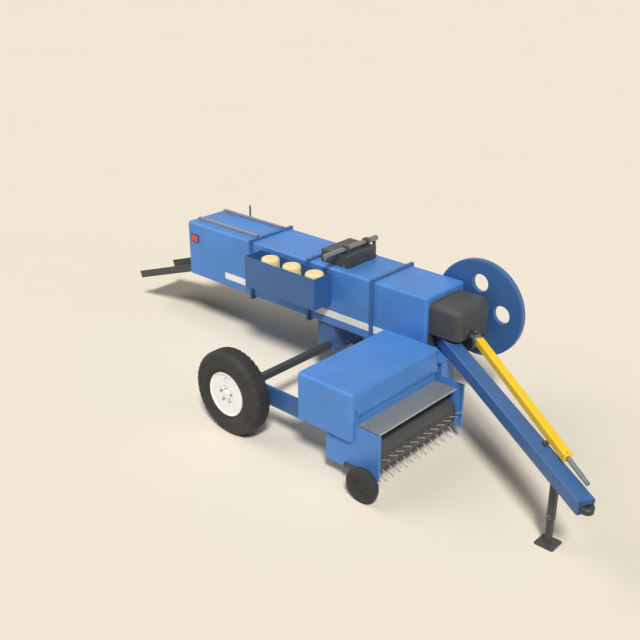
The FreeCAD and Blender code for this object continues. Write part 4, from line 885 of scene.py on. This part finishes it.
def tine_clips():
    """The rings round the tines' roots, and the drum's seams."""
    low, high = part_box("reel_drum")
    axis, radius = centre("reel_drum"), radius_of("reel_drum")
    clips, seams = bmesh.new(), bmesh.new()
    for row in range(TINE_ROWS):
        angle = math.radians(FIRST_ROW_ANGLE + 360 / TINE_ROWS * row)
        out = Vector((math.cos(angle), 0, math.sin(angle)))
        across = Vector((-math.sin(angle), 0, math.cos(angle)))
        for y in spaced(*TINES_Y, TINES_A_ROW):
            spot = Vector((axis.x, y, axis.z)) + out * (radius + 0.5 * MM)
            lathe(clips, [(0.0052, -0.002), (0.0125, -0.002), (0.0125, 0.0015),
                          (0.0105, 0.0045), (0.0075, 0.006), (0.0052, 0.006)],
                  aimed(spot, out), 12)
        seam = Vector((axis.x, 0, axis.z)) + out * (radius + 0.3 * MM) + across * 0.030
        sweep(seams, [seam + Y * (low[1] + 0.034), seam + Y * (high[1] - 0.034)], 1.6 * MM, 6)
    piece("tine_clips", clips, "reel", "dark_steel")
    piece("drum_seams", seams, "reel", "drum")


def gauge_wheel_parts():
    """The gauge wheel's hub cap and its moulded side rings."""
    middle, radius = centre("gauge_wheel"), radius_of("gauge_wheel")
    face = Vector((middle.x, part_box("gauge_wheel")[0][1], middle.z))
    bm = bmesh.new()
    lathe(bm, [(0, -0.013), (0.0385, -0.013), (0.0385, -0.006), (0.034, -0.0035),
               (0.026, -0.002), (0.0, -0.001)], aimed(face, -Y), 40)
    for ring, peak in ((radius - 0.060, -0.0003), (radius - 0.085, -0.0016)):
        lathe(bm, [(ring - 0.003, peak - 0.003), (ring - 0.0015, peak), (ring + 0.0015, peak),
                   (ring + 0.003, peak - 0.003)], aimed(face, -Y), 72)
    piece("gauge_wheel_rings", bm, "gauge_wheel", "rubber")


# ------------------------------------------------ drive
def gearbox_parts():
    """The gearbox's bearing caps with their bolts, and its filler plug."""
    low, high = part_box("gearbox")
    wheel = centre("flywheel")
    bm = bmesh.new()
    front_cap = aimed((high[0], JOINT.y, JOINT.z), X)
    lathe(bm, [(0.0245, -0.002), (0.048, -0.002), (0.048, 0.006), (0.045, 0.008),
               (0.036, 0.009), (0.031, 0.018), (0.0245, 0.018)], front_cap, 48)
    side_cap = aimed((wheel.x, high[1], wheel.z), Y)
    lathe(bm, [(0.033, -0.002), (0.082, -0.002), (0.082, 0.008), (0.077, 0.012),
               (0.050, 0.013), (0.044, 0.022), (0.033, 0.022)], side_cap, 56)
    piece("gearbox_caps", bm, "chassis", "cast")
    bm = bmesh.new()
    for angle in angles(6):
        bolt(bm, on_ring(front_cap, 0.041, angle + 0.3, 0.0085), X, 3.6 * MM)
        bolt(bm, on_ring(side_cap, 0.066, angle + 0.3, 0.0125), Y, 6.5 * MM)
    plug = aimed((high[0], high[1] - 0.110, low[2] + 0.125), X)
    lathe(bm, [(0, -0.002), (0.017, -0.002), (0.017, 0.004), (0.011, 0.005), (0.011, 0.013),
               (0, 0.013)], plug, 6)
    piece("gearbox_bolts", bm, "chassis", "dark_steel")


def flywheel_parts():
    """The flywheel's machined rim bands, its hub plates, their bolts and the shaft's nut."""
    middle, radius = centre("flywheel"), radius_of("flywheel")
    left, thickness, shaft_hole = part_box("flywheel")[1][1], 48 * MM, 0.033
    plates, bolts = bmesh.new(), bmesh.new()
    for sign, face in ((-1, left - thickness), (1, left)):
        matrix = aimed((middle.x, face, middle.z), sign * Y)
        plate = [(0.104, -0.001), (0.104, 0.004), (0.100, 0.007), (0.070, 0.008),
                 (0.062, 0.016)]
        if sign < 0:
            plate += [(shaft_hole, 0.016), (shaft_hole, -0.001)]
        else:
            plate = [(0, -0.001), *plate, (0, 0.016)]
        lathe(plates, plate, matrix, 56)
        lathe(plates, [(radius - 0.040, -0.001), (radius - 0.038, 0.0022),
                       (radius - 0.006, 0.0022), (radius - 0.002, -0.001)], matrix, 160)
        for angle in angles(6):
            bolt(bolts, on_ring(matrix, 0.086, angle, 0.0072), sign * Y, 7.5 * MM)
    nut = aimed((middle.x, left + 15 * MM, middle.z), Y)
    lathe(bolts, [(0, 0), (0.034, 0), (0.034, 0.018), (0.030, 0.022), (0, 0.022)], nut, 6)
    piece("flywheel_plates", plates, "flywheel", "frame")
    piece("flywheel_bolts", bolts, "flywheel", "dark_steel")


def joint_caps():
    """The bearing cups on both yokes of the universal joint."""
    cup = [(0, -0.001), (0.0115, -0.001), (0.0115, 0.0018), (0.010, 0.003), (0.004, 0.003),
           (0.003, 0.0016), (0, 0.0016)]
    turn = SHAFT.to_3x3()
    bm = bmesh.new()
    for sign in (-1, 1):
        spot = SHAFT @ Vector((0, sign * YOKE_EAR_OUT, 0))
        lathe(bm, cup, aimed(spot, turn @ (sign * Y)), 24)
    piece("shaft_yoke_cups", bm, "drive_shaft", "steel")
    bm = bmesh.new()
    for sign in (-1, 1):
        lathe(bm, cup, aimed(JOINT + sign * YOKE_EAR_OUT * Z, sign * Z), 24)
    piece("input_yoke_cups", bm, "input_yoke", "steel")


def guard_parts():
    """The shaft guard's end collars and screws."""
    turn = SHAFT.to_3x3()
    bm, screws = bmesh.new(), bmesh.new()
    for x, sign in ((GUARD_START, -1), (GUARD_END, 1)):
        ring = aimed(SHAFT @ Vector((x, 0, 0)), turn @ (sign * X))
        lathe(bm, [(0.0195, -0.001), (0.030, -0.001), (0.030, 0.003), (0.027, 0.005),
                   (0.0195, 0.005)], ring, 40)
        inset = x - sign * 0.020
        for side in (-1, 1):
            spot = SHAFT @ Vector((inset, side * GUARD_HALF, 0))
            rivet(screws, spot, turn @ (side * Y), 5 * MM)
            spot = SHAFT @ Vector((inset, 0, side * GUARD_HALF))
            rivet(screws, spot, turn @ (side * Z), 5 * MM)
    piece("guard_collars", bm, "drive_guard", "yellow")
    piece("guard_screws", screws, "drive_guard", "dark_steel")


# ------------------------------------------------ drawbar
def drawbar_parts():
    """The welds of the drawbar's eye and side seams, and the bolts round its eye."""
    end, half_w, half_h = DRAWBAR_LENGTH, DRAWBAR_HALF_WIDTH, DRAWBAR_HALF_HEIGHT
    welds, bolts = bmesh.new(), bmesh.new()
    eye = corners((-0.048, -0.026), (0.048, 0.026))
    weld_round(welds, [DRAWBAR @ Vector((end + MM, y, z)) for y, z in eye], 3.5 * MM)
    for y in (-half_w + 0.002, half_w - 0.002):
        for x in (0.55, 1.25):
            weld(welds, DRAWBAR @ Vector((x, y, -half_h + 0.004)),
                 DRAWBAR @ Vector((x, y, half_h - 0.004)), 2.5 * MM)
    piece("drawbar_welds", welds, "drawbar", "frame")
    for y in (-0.050, 0.050):
        for z in (-0.044, 0.044):
            bolt(bolts, DRAWBAR @ Vector((end, y, z)), DRAWBAR.to_3x3() @ X, 6 * MM)
    piece("drawbar_bolts", bolts, "drawbar", "dark_steel")


def jack_parts():
    """The jack's height pin with its ring, and the foot's weld."""
    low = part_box("jack_sleeve")[0]
    middle = centre("jack_leg")
    pin_z, reach = low[2] + 0.055, 0.016
    bm = bmesh.new()
    sweep(bm, [(middle.x, low[1] + 0.010, pin_z), (middle.x, middle.y + 0.045, pin_z)],
          6 * MM, 12)
    ring = [(middle.x + reach * math.sin(angle), low[1] + 0.012,
             pin_z - reach + reach * math.cos(angle)) for angle in angles(20)]
    sweep(bm, ring, 1.8 * MM, 6, closed=True)
    piece("jack_pin", bm, "drawbar", "zinc")
    half = 21 * MM
    foot = corners((middle.x - half, middle.y - half), (middle.x + half, middle.y + half))
    bm = bmesh.new()
    weld_round(bm, [(x, y, 10.5 * MM) for x, y in foot], 3.5 * MM)
    piece("jack_foot_weld", bm, "jack", "dark")


for make in (case_stripe, case_rivets, hoop_bolts, tension_rail_parts, reflector_rims,
             chute_ribs, knotter_parts, twine_box_parts, running_gear_bolts, housing_rivets,
             housing_skirt, bearing_caps, windguard_parts, tine_clips, gauge_wheel_parts,
             gearbox_parts, flywheel_parts, joint_caps, guard_parts, drawbar_parts,
             jack_parts):
    make()


# ------------------------------------------------ twine packs
def twine_packs():
    """Wound twine packs: crossed windings, a soft shoulder and a dimpled top."""
    low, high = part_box("twine_balls")
    radius = (high[1] - low[1]) / 2
    middle_y = (low[1] + high[1]) / 2
    height = high[2] - low[2]
    segments, rows, crossings, turns = 112, 54, 8, 7
    outline = [(0.0, 0.0), (radius - 0.012, 0.0), (radius - 0.003, 0.008)]
    outline += [(radius, 0.014 + (height - 0.040) * i / rows) for i in range(rows + 1)]
    outline += [(radius - 0.0025, height - 0.018), (radius - 0.008, height - 0.009),
                (radius - 0.015, height - 0.004), (radius - 0.023, height - 0.0014)]
    outline += [(r, height - 0.0006) for r in spaced(radius - 0.030, 0.014, 14)]
    outline += [(0.010, height - 0.0022), (0.0, height - 0.003)]

    def wound(r, z, angle, start):
        """Where the windings and the dimpled top put a point of the outline."""
        if r > radius - 0.004 and 0.01 < z < height - 0.012:
            climb = z / height * 2 * math.pi * turns
            wave = max(math.cos(crossings * angle + climb + start),
                       math.cos(crossings * angle - climb + start))
            r += 0.0011 * (wave - 1)
        elif z > height - 0.0015:
            z += 0.0004 * (math.cos(r * 900 + angle) - 1)
        return r, z

    bm = bmesh.new()
    for number, x in enumerate(TWINE_PACKS_X):
        lathe(bm, outline, Matrix.Translation((x, middle_y, low[2])), segments,
              lambda r, z, angle: wound(r, z, angle, number))
    packs = piece("twine_packs", bm, "chassis", "straw", 60.0)
    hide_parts("twine_balls")


twine_packs()


# ------------------------------------------------ studio
FLOOR_SIZE = 240.0
FLOOR_Z = -0.5 * MM  # just under the ground's level
WORLD_STRENGTH = 0.04
LAMP_COLOUR = (1.0, 0.985, 0.96)
# name, strength, angular size, heading, height; angles in degrees
LAMPS = (("soft_key", 2.95, 11.0, -44.0, 48.7),
         ("front_fill", 0.25, 50.0, 0.0, 28.0),
         ("rear_fill", 1.15, 50.0, 200.0, 38.0))
CAMERA_PLACE = at(5.5740, -6.4920, 4.4420)
CAMERA_YAW = 132.480
CAMERA_PITCH = -24.315
CAMERA_LENS, SENSOR_WIDTH = 52.965, 36.0
CAMERA_SEES = 400.0


def direction(heading, height):
    """A unit vector at a heading from +X towards +Y and at a height, both in degrees."""
    heading, height = math.radians(heading), math.radians(height)
    return Vector((math.cos(heading) * math.cos(height),
                   math.sin(heading) * math.cos(height), math.sin(height)))


def studio():
    """Floor, world, lamps and the camera at the photographer's place."""
    bpy.ops.mesh.primitive_plane_add(size=FLOOR_SIZE, location=(0, 0, FLOOR_Z))
    floor = bpy.context.object
    floor.name = "studio_floor"
    floor.data.materials.append(floor_material())

    world = bpy.data.worlds.new("studio_world")
    bpy.context.scene.world = world
    world.use_nodes = True
    tree = world.node_tree
    light = tree.nodes["Background"]
    light.inputs["Color"].default_value = (1.0, 1.0, 1.0, 1.0)
    light.inputs["Strength"].default_value = WORLD_STRENGTH
    seen = tree.nodes.new("ShaderNodeBackground")
    seen.inputs["Color"].default_value = linear(CREAM)
    path = tree.nodes.new("ShaderNodeLightPath")
    shown = path.outputs["Is Camera Ray"]
    for ray in ("Is Glossy Ray", "Is Transmission Ray"):
        either = tree.nodes.new("ShaderNodeMath")
        either.operation = "MAXIMUM"
        tree.links.new(shown, either.inputs[0])
        tree.links.new(path.outputs[ray], either.inputs[1])
        shown = either.outputs[0]
    mixer = tree.nodes.new("ShaderNodeMixShader")
    tree.links.new(shown, mixer.inputs[0])
    tree.links.new(light.outputs[0], mixer.inputs[1])
    tree.links.new(seen.outputs[0], mixer.inputs[2])
    tree.links.new(mixer.outputs[0], tree.nodes["World Output"].inputs["Surface"])

    for name, strength, size, heading, height in LAMPS:
        lamp = bpy.data.lights.new(name, "SUN")
        lamp.energy = strength
        lamp.angle = math.radians(size)
        lamp.color = LAMP_COLOUR
        sun = bpy.data.objects.new(name, lamp)
        shines = -direction(heading, height)
        sun.rotation_euler = shines.to_track_quat("-Z", "Y").to_euler()
        bpy.context.scene.collection.objects.link(sun)

    data = bpy.data.cameras.new("camera")
    data.sensor_width = SENSOR_WIDTH
    data.lens = CAMERA_LENS
    data.clip_end = CAMERA_SEES
    camera = bpy.data.objects.new("camera", data)
    camera.location = CAMERA_PLACE
    look = direction(CAMERA_YAW, CAMERA_PITCH)
    camera.rotation_euler = look.to_track_quat("-Z", "Y").to_euler()
    bpy.context.scene.collection.objects.link(camera)
    bpy.context.scene.camera = camera
    bpy.context.scene.view_settings.view_transform = "Standard"


studio()
